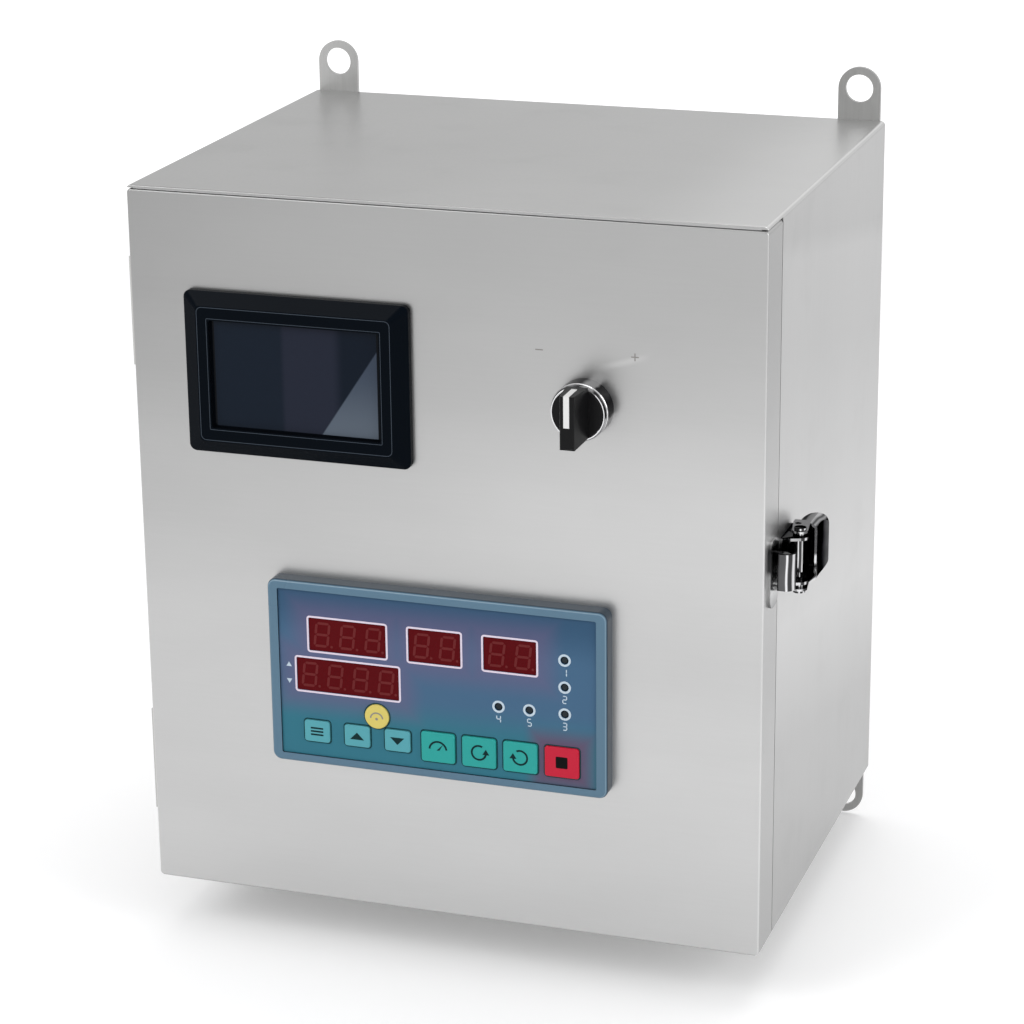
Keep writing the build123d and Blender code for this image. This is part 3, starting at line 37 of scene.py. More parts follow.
class Wire:
    # A node output that takes part in arithmetic
    def __init__(self, graph, socket):
        self.graph = graph
        self.socket = socket

    def join(self, operation, other, flip=False):
        first, second = (other, self) if flip else (self, other)
        return self.graph.node("ShaderNodeMath", {"operation": operation}, {0: first, 1: second})

    def __add__(self, other):
        return self.join("ADD", other)

    def __radd__(self, other):
        return self.join("ADD", other, True)

    def __sub__(self, other):
        return self.join("SUBTRACT", other)

    def __rsub__(self, other):
        return self.join("SUBTRACT", other, True)

    def __mul__(self, other):
        return self.join("MULTIPLY", other)

    def __rmul__(self, other):
        return self.join("MULTIPLY", other, True)

    def __truediv__(self, other):
        return self.join("DIVIDE", other)

    def size(self):
        return self.join("ABSOLUTE", 0.0)

    def most(self, other):
        return self.join("MAXIMUM", other)


class Graph:
    # A material's or world's node tree, emptied and built anew
    def __init__(self, tree):
        self.tree = tree
        tree.nodes.clear()

    def node(self, kind, settings=None, inputs=None, output=0):
        item = self.tree.nodes.new(kind)
        for key, value in (settings or {}).items():
            if key == "stops":
                self.setStops(item.color_ramp, value)
            else:
                setattr(item, key, value)
        for key, value in (inputs or {}).items():
            self.feed(item.inputs[key], value)
        return Wire(self, item.outputs[output]) if len(item.outputs) else None

    def setStops(self, ramp, stops):
        # The two elements of a new ramp become the first and last stop
        ramp.elements[0].position, ramp.elements[1].position = stops[0][0], stops[-1][0]
        for position, value in stops[1:-1]:
            ramp.elements.new(position)
        for element, (position, value) in zip(ramp.elements, stops):
            element.color = (value, value, value, 1.0)

    def feed(self, target, value):
        if isinstance(value, Wire):
            self.tree.links.new(value.socket, target)
        elif isinstance(target.default_value, (int, float)) or len(value) == len(target.default_value):
            target.default_value = value
        else:
            target.default_value = (*value, 1.0)

    def outputs(self, wire):
        return [Wire(self, socket) for socket in wire.socket.node.outputs]

    def split(self, vector):
        return self.outputs(self.node("ShaderNodeSeparateXYZ", None, {0: vector}))

    def place(self):
        return self.node("ShaderNodeTexCoord", output=3)

    def axes(self):
        return self.split(self.place())

    def normalAxes(self):
        return self.split(self.node("ShaderNodeTexCoord", output=1))

    def stretch(self, scale):
        return self.node("ShaderNodeVectorMath", {"operation": "MULTIPLY"}, {0: self.place(), 1: scale})

    def noise(self, scale, detail=2.0, stretch=(1.0, 1.0, 1.0)):
        inputs = {"Vector": self.stretch(stretch), "Scale": scale, "Detail": detail}
        return self.node("ShaderNodeTexNoise", None, inputs)

    def mix(self, factor, first, second):
        settings = {"data_type": "RGBA"}
        return self.node("ShaderNodeMix", settings, {0: factor, 6: first, 7: second}, output=2)

    def ramp(self, value, low, high):
        # 0 at low, 1 at high, smooth between
        inputs = {"Value": value, "From Min": low, "From Max": high}
        return self.node("ShaderNodeMapRange", {"interpolation_type": "SMOOTHSTEP"}, inputs)

    def curve(self, value, stops):
        # Grey level along a row of stops
        return self.node("ShaderNodeValToRGB", {"stops": stops}, {0: value})

    def grey(self, level):
        return self.mix(level, (0.0, 0.0, 0.0), (1.0, 1.0, 0.995))

    def bump(self, height, strength, distance):
        inputs = {"Height": height, "Strength": strength, "Distance": distance}
        return self.node("ShaderNodeBump", None, inputs)

    def near(self, x, z, item, reach):
        # 1 inside an item's box on the front, falling to 0 at a reach from its edge
        besideX = (x - item["x"] * mm).size() - item["width"] / 2 * mm
        besideZ = (z - item["z"] * mm).size() - item["height"] / 2 * mm
        return self.ramp(besideX.most(besideZ), reach * mm, 0.0)

    def backdropRays(self):
        # 1 for rays from the camera and for glossy and transmission rays, which see the white backdrop
        rays = {wire.socket.name: wire for wire in self.outputs(self.node("ShaderNodeLightPath"))}
        return rays["Is Camera Ray"].most(rays["Is Glossy Ray"]).most(rays["Is Transmission Ray"])

    def finish(self, inputs):
        shader = self.node("ShaderNodeBsdfPrincipled", None, inputs)
        self.node("ShaderNodeOutputMaterial", None, {"Surface": shader})


def newGraph(name):
    material = bpy.data.materials.new(name)
    material.use_nodes = True
    return material, Graph(material.node_tree)


# Measures in millimetres, as the solids have them; a face is a distance in front of the wall
cabinetHeight = 400.0
doorFace = 270.0
screen = {"x": -79.4, "z": 101.6, "face": 278.0}
panel = {"x": -2.5, "z": -62.475, "face": 279.0}
windows = {
    "total": {"x": -50.45, "z": 22.925, "width": 44.1, "height": 18.65, "digits": 3},
    "work": {"x": -0.6, "z": 22.925, "width": 29.4, "height": 18.65, "digits": 2},
    "rest": {"x": 41.9, "z": 22.925, "width": 29.4, "height": 18.65, "digits": 2},
    "vacuum": {"x": -50.8, "z": -0.725, "width": 58.8, "height": 18.65, "digits": 4},
}
lampPlaces = [(72.4, 23.85), (72.4, 8.55), (72.4, -6.75), (35.3, -6.75), (52.6, -6.75)]
keys = {
    "key_set": {"x": -69.14, "z": -33.25, "width": 14.63, "height": 12.3},
    "key_up": {"x": -45.81, "z": -33.25, "width": 14.63, "height": 12.3},
    "key_down": {"x": -22.48, "z": -33.25, "width": 14.63, "height": 12.3},
    "key_vacuum": {"x": 0.85, "z": -34.25, "width": 19.13, "height": 17.2},
    "key_tumble": {"x": 24.18, "z": -34.25, "width": 19.13, "height": 17.2},
    "key_reverse": {"x": 47.51, "z": -34.25, "width": 19.13, "height": 17.2},
    "key_stop": {"x": 70.84, "z": -34.25, "width": 19.13, "height": 17.2},
    "key_vacuum_set": {"x": -34.14, "z": -20.55, "width": 13.8, "height": 13.8},
}
for item in (*windows.values(), *keys.values()):
    item["x"] += panel["x"]
    item["z"] += panel["z"]
lampPlaces = [(x + panel["x"], z + panel["z"]) for x, z in lampPlaces]

# Depth of the finest grain, in metres
fineDepth = 0.0001


def steel(name, look):
    # Brushed sheet: fine lines along one axis and a slow cloud vary the tone and the roughness
    material, graph = newGraph(name)
    lines = graph.noise(look["grain"], 3.0, look["stretch"])
    cloud = graph.noise(look.get("cloud", 9.0), 2.0)
    tone = graph.mix(lines * 0.6 + cloud * 0.4, look["dark"], look["light"])
    graph.finish({
        "Base Color": tone,
        "Metallic": 1.0,
        "Roughness": look["rough"] + (lines - 0.5) * 0.12,
        "Normal": graph.bump(lines, look.get("bump", 0.05), 0.0002),
    })
    return material


# How strongly clouds, streaks and fine lines change the level, roughness and bump of both satin sheets
satin = {"cloud": 0.16, "streak": 0.09, "lines": 0.05, "roughLines": 0.08, "roughSmudge": 0.03, "bump": 0.04}


def satinSheet(name, look):
    # Satin stainless: the level follows the height and the width as painted shade, clouds, streaks and fine
    # lines over it
    material, graph = newGraph(name)
    x, y, z = graph.axes()
    # Painted shade: the level changes along the height and across the width
    height = (z + (y + doorFace * mm) * look["lean"]) / (cabinetHeight * mm) + 0.5
    shadeTilt = graph.ramp(z, -0.06, 0.06) * (look["shadeTilt"] - look["lowShadeTilt"]) + look["lowShadeTilt"]
    level = graph.curve(height, look["levels"]) * (x * shadeTilt + 1.0)
    lines = graph.noise(look["grain"], 3.0, look["stretch"])
    cloud = graph.noise(look["cloud"], 2.0, look["cloudStretch"])
    streak = graph.noise(look["streak"], 2.0, look["streakStretch"])
    vary = 1.0 + (cloud - 0.5) * satin["cloud"] + (streak - 0.5) * satin["streak"]
    vary = vary + (lines - 0.5) * satin["lines"]
    # Rounded edges: painted shade makes the long upper front edge darker than the flats, a painted highlight
    # makes upright and side edges brighter
    toSide, toFront, toTop = [axis.size() for axis in graph.normalAxes()]
    rounded = 1.0 - graph.ramp(toSide.most(toFront).most(toTop), 0.90, 0.995)
    edge = graph.ramp(toSide, 0.05, 0.25) * (look["sideEdgeHighlight"] - look["topEdgeShade"]) + (look["topEdgeShade"] - 1.0)
    vary = vary * (1.0 + rounded * edge)
    if "gleam" in look:
        # A soft gleam thrown on the sheet by the selector's ring
        gleam = look["gleam"]
        along = (x - gleam["x"]) / gleam["length"]
        across = (z - gleam["z"] - (x - gleam["x"]) * gleam["slope"]).size() / gleam["width"]
        ends = graph.ramp((along - 0.5).size(), 0.5, 0.15)
        vary = vary + graph.ramp(across, 1.0, 0.0) * ends * gleam["gain"]
    if "crestHighlight" in look:
        # Painted highlight: the roof grows lighter towards its right-hand edge
        vary = vary * (graph.ramp(toTop, 0.6, 0.9) * graph.ramp(x, 0.09, 0.18) * look["crestHighlight"] + 1.0)
    if "flange" in look:
        # Painted shade: the folded sides are a little darker than the front
        vary = vary * (1.0 - graph.ramp(toSide, 0.8, 0.95) * look["flange"])
    smudge = graph.ramp(graph.noise(26.0, 4.0), 0.52, 0.75)
    graph.finish({
        "Base Color": graph.grey(level * vary),
        "Metallic": 1.0,
        "Roughness": look["rough"] + (lines - 0.5) * satin["roughLines"] + smudge * satin["roughSmudge"],
        "Normal": graph.bump(lines, satin["bump"], fineDepth),
    })
    return material


def polished(name, look):
    # Polished metal with a painted reflection: dark and bright stripes change with the angle of the surface
    # and drift along it
    material, graph = newGraph(name)
    facing = graph.node("ShaderNodeLayerWeight", None, {"Blend": 0.5}, output=1)
    drift = graph.noise(look["drift"], 1.0)
    band = graph.curve(facing + (drift - 0.5) * look["spread"], look["bands"])
    cloud = graph.noise(look["cloud"], 2.0)
    light = graph.mix(cloud, look["light"], [channel * 0.94 for channel in look["light"]])
    graph.finish({
        "Base Color": graph.mix(band, look["dark"], light),
        "Metallic": 1.0,
        "Roughness": look["rough"] + (cloud - 0.5) * 0.03,
        "Normal": graph.bump(graph.noise(look["ripple"]), 0.05, 0.0004),
    })
    return material


def mirror(name, look):
    # Mirror finish with a painted reflection: dark and bright stripes by the way the surface turns about one
    # axis; a painted highlight keeps the front bright
    material, graph = newGraph(name)
    across, away, up = graph.normalAxes()
    first, second = (up, across) if look["around"] == "y" else (across, away * -1.0)
    turn = first.join("ARCTAN2", second) / (2 * math.pi) + 0.5
    drift = (graph.noise(look["drift"], 1.0) - 0.5) * look["spread"]
    band = graph.curve(turn + drift, look["bands"])
    front = graph.ramp(away * -1.0, look["rimFrom"], look["rimFrom"] + 0.35)
    level = (band * (1.0 - front)).most(front * look["rimHighlight"]) if look["rimHighlight"] else band
    graph.finish({
        "Base Color": graph.mix(level, look["dark"], look["light"]),
        "Metallic": 1.0,
        "Specular Tint": look["edgeTint"],
        "Roughness": look["rough"] + graph.noise(200.0) * 0.04,
    })
    return material


def keeperSteel(name, look):
    # Polished flat plate with a painted reflection: its upper part shows a dark room, its lower part a pale
    # one
    material, graph = newGraph(name)
    x, y, z = graph.axes()
    drift = (graph.noise(look["drift"], 1.0) - 0.5) * look["spread"]
    band = graph.curve((z + drift - look["foot"]) / look["height"], look["bands"])
    graph.finish({
        "Base Color": graph.mix(band, look["dark"], look["light"]),
        "Metallic": 1.0,
        "Roughness": look["rough"] + graph.noise(200.0) * 0.04,
    })
    return material


def moulded(name, look):
    # Glossy moulding: flat front, painted shade on its sides, a painted highlight on its rounded edges and
    # upper side
    material, graph = newGraph(name)
    across, away, up = graph.normalAxes()
    front = away * -1.0
    cloud = graph.noise(14.0, 2.0)
    tone = graph.mix(cloud, look["color"], [channel * 1.1 for channel in look["color"]])
    # Painted shade: the sides turn to the darker side colour
    tone = graph.mix(graph.ramp(front, 0.75, 0.35), tone, look["side"])
    # Painted highlight on the rounded edges, stronger where they face up or to the right
    rounding = graph.ramp((front - look["highlightAt"]).size(), look["highlightReach"], 0.0)
    lit = graph.ramp(up.most(across), 0.0, 0.3)
    tone = graph.mix(rounding * (lit * 0.75 + 0.25), tone, look["highlight"])
    graph.finish({
        "Base Color": tone,
        "Roughness": look["rough"] + (cloud - 0.5) * 0.06,
        "Specular IOR Level": look["specular"],
        "Normal": graph.bump(graph.noise(1800.0, 1.0), 0.05, fineDepth),
    })
    return material


def plastic(name, look):
    # Moulded grain: small cells in the bump and a slow drift of tone
    material, graph = newGraph(name)
    grain = graph.noise(look.get("grain", 1800.0), 1.0)
    cloud = graph.noise(14.0, 2.0)
    lighter = [min(1.0, channel * look.get("drift", 1.15) + 0.004) for channel in look["color"]]
    graph.finish({
        "Base Color": graph.mix(cloud, look["color"], lighter),
        "Roughness": look["rough"] + (cloud - 0.5) * 0.08,
        "Specular IOR Level": look.get("specular", 0.3),
        "Coat Weight": look.get("coat", 0.0),
        "Coat Roughness": 0.08,
        "Normal": graph.bump(grain, look.get("bump", 0.12), fineDepth),
    })
    return material


steelLooks = {
    "lugSteel": {"grain": 900.0, "stretch": (1.0, 1.0, 0.04), "dark": (0.33, 0.33, 0.325),
                 "light": (0.45, 0.45, 0.445), "rough": 0.36},
    "hingeSteel": {"grain": 900.0, "stretch": (1.0, 1.0, 0.04), "dark": (0.42, 0.42, 0.41),
                   "light": (0.52, 0.52, 0.51), "rough": 0.36},
    "zincSheet": {"grain": 120.0, "stretch": (1.0, 1.0, 0.5), "dark": (0.50, 0.53, 0.56),
                  "light": (0.66, 0.69, 0.72), "rough": 0.42, "bump": 0.04, "cloud": 40.0},
    "zincScrew": {"grain": 260.0, "stretch": (1.0, 1.0, 1.0), "dark": (0.60, 0.60, 0.58),
                  "light": (0.74, 0.73, 0.70), "rough": 0.3, "bump": 0.02},
    "extrudedAluminium": {"grain": 700.0, "stretch": (1.0, 1.0, 0.02), "dark": (0.52, 0.53, 0.54),
                          "light": (0.68, 0.69, 0.70), "rough": 0.38, "bump": 0.05},
    "brass": {"grain": 400.0, "stretch": (1.0, 0.1, 1.0), "dark": (0.55, 0.38, 0.12),
              "light": (0.72, 0.54, 0.22), "rough": 0.28, "bump": 0.02},
}
# In these looks the levels along the height and the factors across the width and at the edges are painted
# shade and highlight, so are the darker folded sides and the lighter roof edge; the gleam is a painted
# reflection
sheetLooks = {
    "doorSteel": {"grain": 700.0, "stretch": (0.04, 1.0, 1.0), "cloud": 5.0, "cloudStretch": (1.0, 1.0, 2.2),
                  "streak": 9.0, "streakStretch": (0.35, 1.0, 2.4), "shadeTilt": 0.8, "lowShadeTilt": 0.2, "lean": 0.0,
                  "topEdgeShade": 0.78, "sideEdgeHighlight": 1.12, "flange": 0.20,
                  "gleam": {"x": 0.082, "z": 0.119, "slope": 0.30, "length": 0.034, "width": 0.0030,
                            "gain": 0.16},
                  "levels": [(0.0, 0.525), (0.25, 0.54), (0.5, 0.50), (0.625, 0.465), (0.75, 0.395),
                             (0.85, 0.36), (0.975, 0.335)], "rough": 0.34},
    "bodySteel": {"grain": 700.0, "stretch": (1.0, 1.0, 0.04), "cloud": 4.0, "cloudStretch": (1.6, 1.0, 1.0),
                  "streak": 8.0, "streakStretch": (1.0, 1.6, 0.4), "shadeTilt": 0.5, "lowShadeTilt": 0.5, "lean": 0.18,
                  "topEdgeShade": 0.80, "sideEdgeHighlight": 1.35, "crestHighlight": 0.28,
                  "levels": [(0.0, 0.385), (0.275, 0.41), (0.45, 0.525), (0.675, 0.43), (0.825, 0.385),
                             (0.95, 0.39), (0.98, 0.345)], "rough": 0.34},
}
# The dark and light stripes of the polished looks below are painted reflections
pinLook = {"dark": (0.020, 0.020, 0.022), "light": (0.70, 0.70, 0.71), "rough": 0.10, "drift": 45.0,
           "spread": 0.5, "cloud": 60.0, "ripple": 90.0,
           "bands": [(0.0, 0.5), (0.08, 1.0), (0.16, 0.12), (0.28, 0.08), (0.36, 0.9),
                     (0.44, 0.3), (0.58, 0.08), (0.72, 0.45), (0.82, 0.05), (1.0, 0.0)]}
mirrorLooks = {
    "chrome": {"around": "y", "dark": (0.016, 0.016, 0.018), "light": (0.80, 0.80, 0.81), "rough": 0.08,
               "edgeTint": (0.5, 0.5, 0.5), "drift": 120.0, "spread": 0.05, "rimHighlight": 0.95, "rimFrom": 0.35,
               "bands": [(0.0, 0.5), (0.06, 0.85), (0.16, 0.75), (0.30, 0.8), (0.40, 0.7), (0.445, 1.0),
                         (0.47, 0.95), (0.485, 0.04), (0.56, 0.01), (0.60, 0.10), (0.645, 0.04), (0.66, 0.8),
                         (0.71, 0.85), (0.74, 0.06), (0.80, 0.2), (0.86, 0.04), (0.92, 0.35), (1.0, 0.5)]},
    "leverSteel": {"around": "y", "dark": (0.012, 0.012, 0.013), "light": (0.74, 0.74, 0.75), "rough": 0.09,
                   "edgeTint": (0.06, 0.06, 0.06), "drift": 50.0, "spread": 0.10, "rimHighlight": 0.95, "rimFrom": 0.6,
                   "bands": [(0.0, 0.10), (0.25, 0.03), (0.45, 0.03), (0.485, 0.05), (0.52, 0.22),
                             (0.56, 0.04), (0.60, 0.05), (0.635, 0.75), (0.665, 0.22), (0.70, 1.0),
                             (0.76, 1.0), (0.79, 0.45), (0.82, 0.9), (0.85, 0.10), (0.90, 0.04),
                             (1.0, 0.10)]},
    "polishedSteel": {"around": "z", "dark": (0.014, 0.014, 0.015), "light": (0.78, 0.78, 0.79),
                      "rough": 0.09, "edgeTint": (0.2, 0.2, 0.2), "drift": 60.0, "spread": 0.04, "rimHighlight": 0.0,
                      "rimFrom": 0.6,
                      "bands": [(0.0, 0.3), (0.25, 0.04), (0.46, 0.05), (0.50, 0.10), (0.52, 0.14),
                                (0.53, 0.95), (0.55, 1.0), (0.57, 0.05), (0.63, 0.04), (0.655, 0.8),
                                (0.69, 0.85), (0.715, 0.06), (0.75, 0.30), (0.80, 0.10), (1.0, 0.3)]},
}
keeperLook = {"foot": -0.0055, "height": 0.037, "dark": (0.020, 0.020, 0.022), "light": (0.55, 0.55, 0.55),
              "rough": 0.14, "drift": 60.0, "spread": 0.004,
              "bands": [(0.0, 0.30), (0.25, 0.85), (0.52, 0.75), (0.60, 0.06), (0.90, 0.02), (0.97, 0.5),
                        (1.0, 0.8)]}
# Moulded looks: the side colour is painted shade, the lighter edge colour a painted highlight
mouldedLooks = {
    "screenPlastic": {"color": (0.0009, 0.0024, 0.0048), "side": (0.002, 0.003, 0.005),
                      "highlight": (0.050, 0.058, 0.070), "highlightAt": 0.50, "highlightReach": 0.18, "rough": 0.26,
                      "specular": 0.03},
    "frameBlue": {"color": (0.088, 0.168, 0.238), "side": (0.018, 0.034, 0.052), "highlight": (0.20, 0.30, 0.38),
                  "highlightAt": 0.82, "highlightReach": 0.12, "rough": 0.28, "specular": 0.3},
}
plasticLooks = {
    "blackPlastic": {"color": (0.009, 0.009, 0.010), "rough": 0.40},
    "knobPlastic": {"color": (0.004, 0.004, 0.0045), "rough": 0.30, "bump": 0.06, "specular": 0.10},
    "whitePlastic": {"color": (0.72, 0.72, 0.71), "rough": 0.38, "drift": 1.03},
    "greyPlastic": {"color": (0.30, 0.32, 0.33), "rough": 0.5},
    "lightGreyPlastic": {"color": (0.60, 0.61, 0.61), "rough": 0.45, "drift": 1.04},
    "darkGreyPlastic": {"color": (0.045, 0.048, 0.052), "rough": 0.46},
    "beigePlastic": {"color": (0.50, 0.47, 0.36), "rough": 0.5, "drift": 1.06},
    "gasketFoam": {"color": (0.012, 0.012, 0.012), "rough": 0.85, "grain": 700.0, "bump": 0.5},
    "sealRubber": {"color": (0.015, 0.015, 0.015), "rough": 0.7},
    "keyLight": {"color": (0.085, 0.34, 0.39), "rough": 0.30, "bump": 0.03, "drift": 1.06, "specular": 0.2},
    "keyTeal": {"color": (0.020, 0.33, 0.30), "rough": 0.30, "bump": 0.03, "drift": 1.06, "specular": 0.2},
    "keyRed": {"color": (0.52, 0.012, 0.038), "rough": 0.30, "bump": 0.03, "drift": 1.04, "specular": 0.15},
    "keyYellow": {"color": (0.66, 0.55, 0.14), "rough": 0.30, "bump": 0.03, "drift": 1.03, "specular": 0.2},
    "boardGreen": {"color": (0.010, 0.10, 0.04), "rough": 0.3, "coat": 0.6},
    "displayRed": {"color": (0.088, 0.002, 0.004), "rough": 0.20, "bump": 0.0, "specular": 0.03},
    "lampClear": {"color": (0.008, 0.015, 0.020), "rough": 0.2, "bump": 0.0, "drift": 1.05, "specular": 0.2},
    "lampRim": {"color": (0.50, 0.60, 0.68), "rough": 0.35, "bump": 0.0, "drift": 1.03},
    "printWhite": {"color": (0.70, 0.62, 0.72), "rough": 0.4, "bump": 0.0, "drift": 1.03},
    "printDark": {"color": (0.003, 0.022, 0.024), "rough": 0.4, "bump": 0.0, "specular": 0.08},
    "printGrey": {"color": (0.215, 0.205, 0.195), "rough": 0.5, "bump": 0.0},
    # Painted shade of the gap round the keys
    "keyGapShade": {"color": (0.006, 0.045, 0.050), "rough": 0.5, "bump": 0.0, "specular": 0.1},
    "segmentRed": {"color": (0.125, 0.014, 0.015), "rough": 0.3, "bump": 0.0, "specular": 0.08},
    "lipGrey": {"color": (0.55, 0.55, 0.55), "rough": 0.6, "bump": 0.05, "specular": 0.2},
    "darkHole": {"color": (0.004, 0.004, 0.004), "rough": 0.8, "bump": 0.0, "specular": 0.05},
    # Painted highlight along the bezel's steps
    "bezelHighlightLine": {"color": (0.030, 0.042, 0.058), "rough": 0.3, "bump": 0.0, "specular": 0.2},
    "displayGreen": {"color": (0.030, 0.055, 0.035), "rough": 0.2, "bump": 0.0},
}
materials = {name: steel(name, look) for name, look in steelLooks.items()}
materials.update({name: satinSheet(name, look) for name, look in sheetLooks.items()})
materials["brightSteel"] = polished("brightSteel", pinLook)
materials.update({name: mirror(name, look) for name, look in mirrorLooks.items()})
materials["keeperSteel"] = keeperSteel("keeperSteel", keeperLook)
materials.update({name: moulded(name, look) for name, look in mouldedLooks.items()})
materials.update({name: plastic(name, look) for name, look in plasticLooks.items()})


def overlayFilm(look):
    # Blue film, deepest at its top, teal towards the keys, with a painted glow round the red windows and the
    # stop key
    material, graph = newGraph("overlayFilm")
    x, y, z = graph.axes()
    cloud = graph.noise(20.0)
    film = graph.mix(graph.ramp(z, look["topZ"], look["middleZ"]), look["top"], look["middle"])
    fade = graph.ramp(z, look["fadeTop"], look["fadeFoot"]) * (0.85 + cloud * 0.3)
    film = graph.mix(fade, film, look["lower"])
    # Painted glow round the red windows and the stop key
    glowMask = 0.0
    for window in windows.values():
        glowMask = graph.near(x, z, window, look["windowReach"]).most(glowMask)
    stopGlow = graph.near(x, z, keys["key_stop"], look["stopReach"])
    film = graph.mix(glowMask * look["windowShare"], film, look["windowGlow"])
    graph.finish({
        "Base Color": graph.mix(stopGlow * look["stopShare"], film, look["stopGlow"]),
        "Roughness": look["rough"] + (cloud - 0.5) * 0.06,
        "Specular IOR Level": look["specular"],
        "Normal": graph.bump(graph.noise(2500.0, 1.0), 0.05, fineDepth),
    })
    return material


# The purple colours round the windows and the stop key are a painted glow
filmLook = {"topZ": -0.018, "middleZ": -0.045, "fadeTop": -0.068, "fadeFoot": -0.092,
            "top": (0.034, 0.087, 0.162), "middle": (0.058, 0.130, 0.225), "lower": (0.032, 0.165, 0.225),
            "windowGlow": (0.165, 0.098, 0.200), "windowReach": 17.0, "windowShare": 0.4,
            "stopGlow": (0.130, 0.060, 0.120), "stopReach": 13.0, "stopShare": 0.8,
            "rough": 0.36, "specular": 0.12}


def screenGlass(look):
    # Dark cover glass: a black margin and a lighter picture area, with a painted reflection over it: soft
    # stripes and a pale sheen in one corner
    material, graph = newGraph("screenGlass")
    x, y, z = graph.axes()
    across = (x - (screen["x"] * mm - look["width"] / 2)) / look["width"]
    above = (z - (screen["z"] * mm - look["height"] / 2)) / look["height"]
    insideX = graph.ramp((across - 0.5).size(), 0.502, 0.498)
    insideZ = graph.ramp((above - 0.5).size(), 0.503, 0.497)
    bands = graph.mix(graph.ramp(across, *look["leftEdge"]), look["left"], look["middle"])
    bands = graph.mix(graph.ramp(across, *look["rightEdge"]), bands, look["right"])
    # The painted sheen lies below a line that rises from the foot of the picture
    sheenEdge = graph.ramp((across - look["sheenStart"]) * look["sheenRise"] - above, 0.0, 0.03)
    sheen = graph.mix(graph.ramp(above, 0.0, 0.7), look["sheenFoot"], look["sheenTop"])
    picture = graph.mix(sheenEdge, bands, sheen)
    graph.finish({
        "Base Color": graph.mix(insideX * insideZ, look["margin"], picture),
        "Roughness": look["rough"] + graph.noise(30.0) * 0.03,
        "Specular IOR Level": look["specular"],
    })
    return material


# The left, middle and right colours and the sheen are a painted reflection on the picture area
glassLook = {"width": 0.092, "height": 0.0575, "margin": (0.002, 0.003, 0.005),
             "left": (0.0065, 0.0115, 0.0210), "leftEdge": (0.40, 0.44), "middle": (0.0150, 0.0185, 0.0320),
             "right": (0.0045, 0.0085, 0.0165), "rightEdge": (0.72, 0.80), "sheenStart": 0.65,
             "sheenRise": 2.4, "sheenFoot": (0.095, 0.118, 0.150), "sheenTop": (0.045, 0.060, 0.088),
             "rough": 0.10, "specular": 0.06}
materials["overlayFilm"] = overlayFilm(filmLook)
materials["screenGlass"] = screenGlass(glassLook)
print("stage: materials made")

nodeMaterials = {
    "doorSteel": ["door_panel"],
    "bodySteel": ["cabinet_shell", "back_panel"],
    "lugSteel": ["wall_lugs"],
    "hingeSteel": ["hinge_cabinet_leaves", "hinge_door_leaves"],
    "polishedSteel": ["latch_rivets", "latch_link_pin", "latch_link", "latch_base"],
    "leverSteel": ["latch_lever"],
    "keeperSteel": ["latch_keeper"],
    "brightSteel": ["hinge_pins"],
    "chrome": ["selector_bezel"],
    "zincSheet": ["mounting_plate", "din_rails"],
    "zincScrew": ["plate_studs", "plate_nuts", "screen_clamps", "panel_clamps"],
    "extrudedAluminium": ["inverter_heatsink", "power_supply"],
    "brass": ["earth_stud"],
    "blackPlastic": ["screen_housing", "display_modules", "key_switches", "panel_case",
                     "breaker_toggle", "gland_bodies", "gland_caps", "gland_locknuts"],
    "knobPlastic": ["selector_knob"],
    "whitePlastic": ["selector_index"],
    "screenPlastic": ["screen_bezel"],
    "screenGlass": ["screen_glass"],
    "greyPlastic": ["wire_ducts", "duct_covers"],
    "lightGreyPlastic": ["circuit_breaker"],
    "darkGreyPlastic": ["selector_nut", "selector_contact_block", "inverter_housing", "inverter_cover",
                        "contactors"],
    "beigePlastic": ["terminal_blocks"],
    "gasketFoam": ["door_gasket"],
    "sealRubber": ["gland_seals"],
    "frameBlue": ["panel_frame"],
    "overlayFilm": ["panel_overlay"],
    "keyLight": ["key_set", "key_up", "key_down"],
    "keyTeal": ["key_vacuum", "key_tumble", "key_reverse"],
    "keyRed": ["key_stop"],
    "keyYellow": ["key_vacuum_set"],
    "boardGreen": ["panel_board"],
    "displayRed": ["display_lenses"],
    "lampClear": ["status_lamps"],
}
for materialName, names in nodeMaterials.items():
    for name in names:
        item = nodes[name]
        item.data.materials.clear()
        item.data.materials.append(materials[materialName])
print("stage: nodes dressed")


def newPiece(name, body, material, vertices, faces, smooth=False):
    mesh = bpy.data.meshes.new(name)
    mesh.from_pydata((np.asarray(vertices, dtype=float) * mm).tolist(), [], faces)
    mesh.polygons.foreach_set("use_smooth", [smooth] * len(mesh.polygons))
    mesh.materials.append(materials[material])
    piece = bpy.data.objects.new(name, mesh)
    bpy.context.scene.collection.objects.link(piece)
    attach(piece, body)
    return piece


def inFront(loop, away):
    # (x, z) at a distance in front of the wall, as x, y, z
    return np.stack([loop[:, 0], 0 * loop[:, 0] - away, loop[:, 1]], 1)


def flatMarks(name, body, material, outlines, distance, thickness):
    # Each counter-clockwise outline becomes a closed plate from its distance to distance + thickness
    points = []
    faces = []
    start = 0
    for outline in outlines:
        loop = np.asarray(outline, dtype=float)
        count = len(loop)
        points += [inFront(loop, away) for away in (distance + thickness, distance)]
        ring = start + np.arange(count)
        following = np.roll(ring, -1)
        faces.append(ring.tolist())
        faces.append((ring + count)[::-1].tolist())
        faces += np.stack([ring, ring + count, following + count, following], 1).tolist()
        start += 2 * count
    return newPiece(name, body, material, np.concatenate(points), faces)


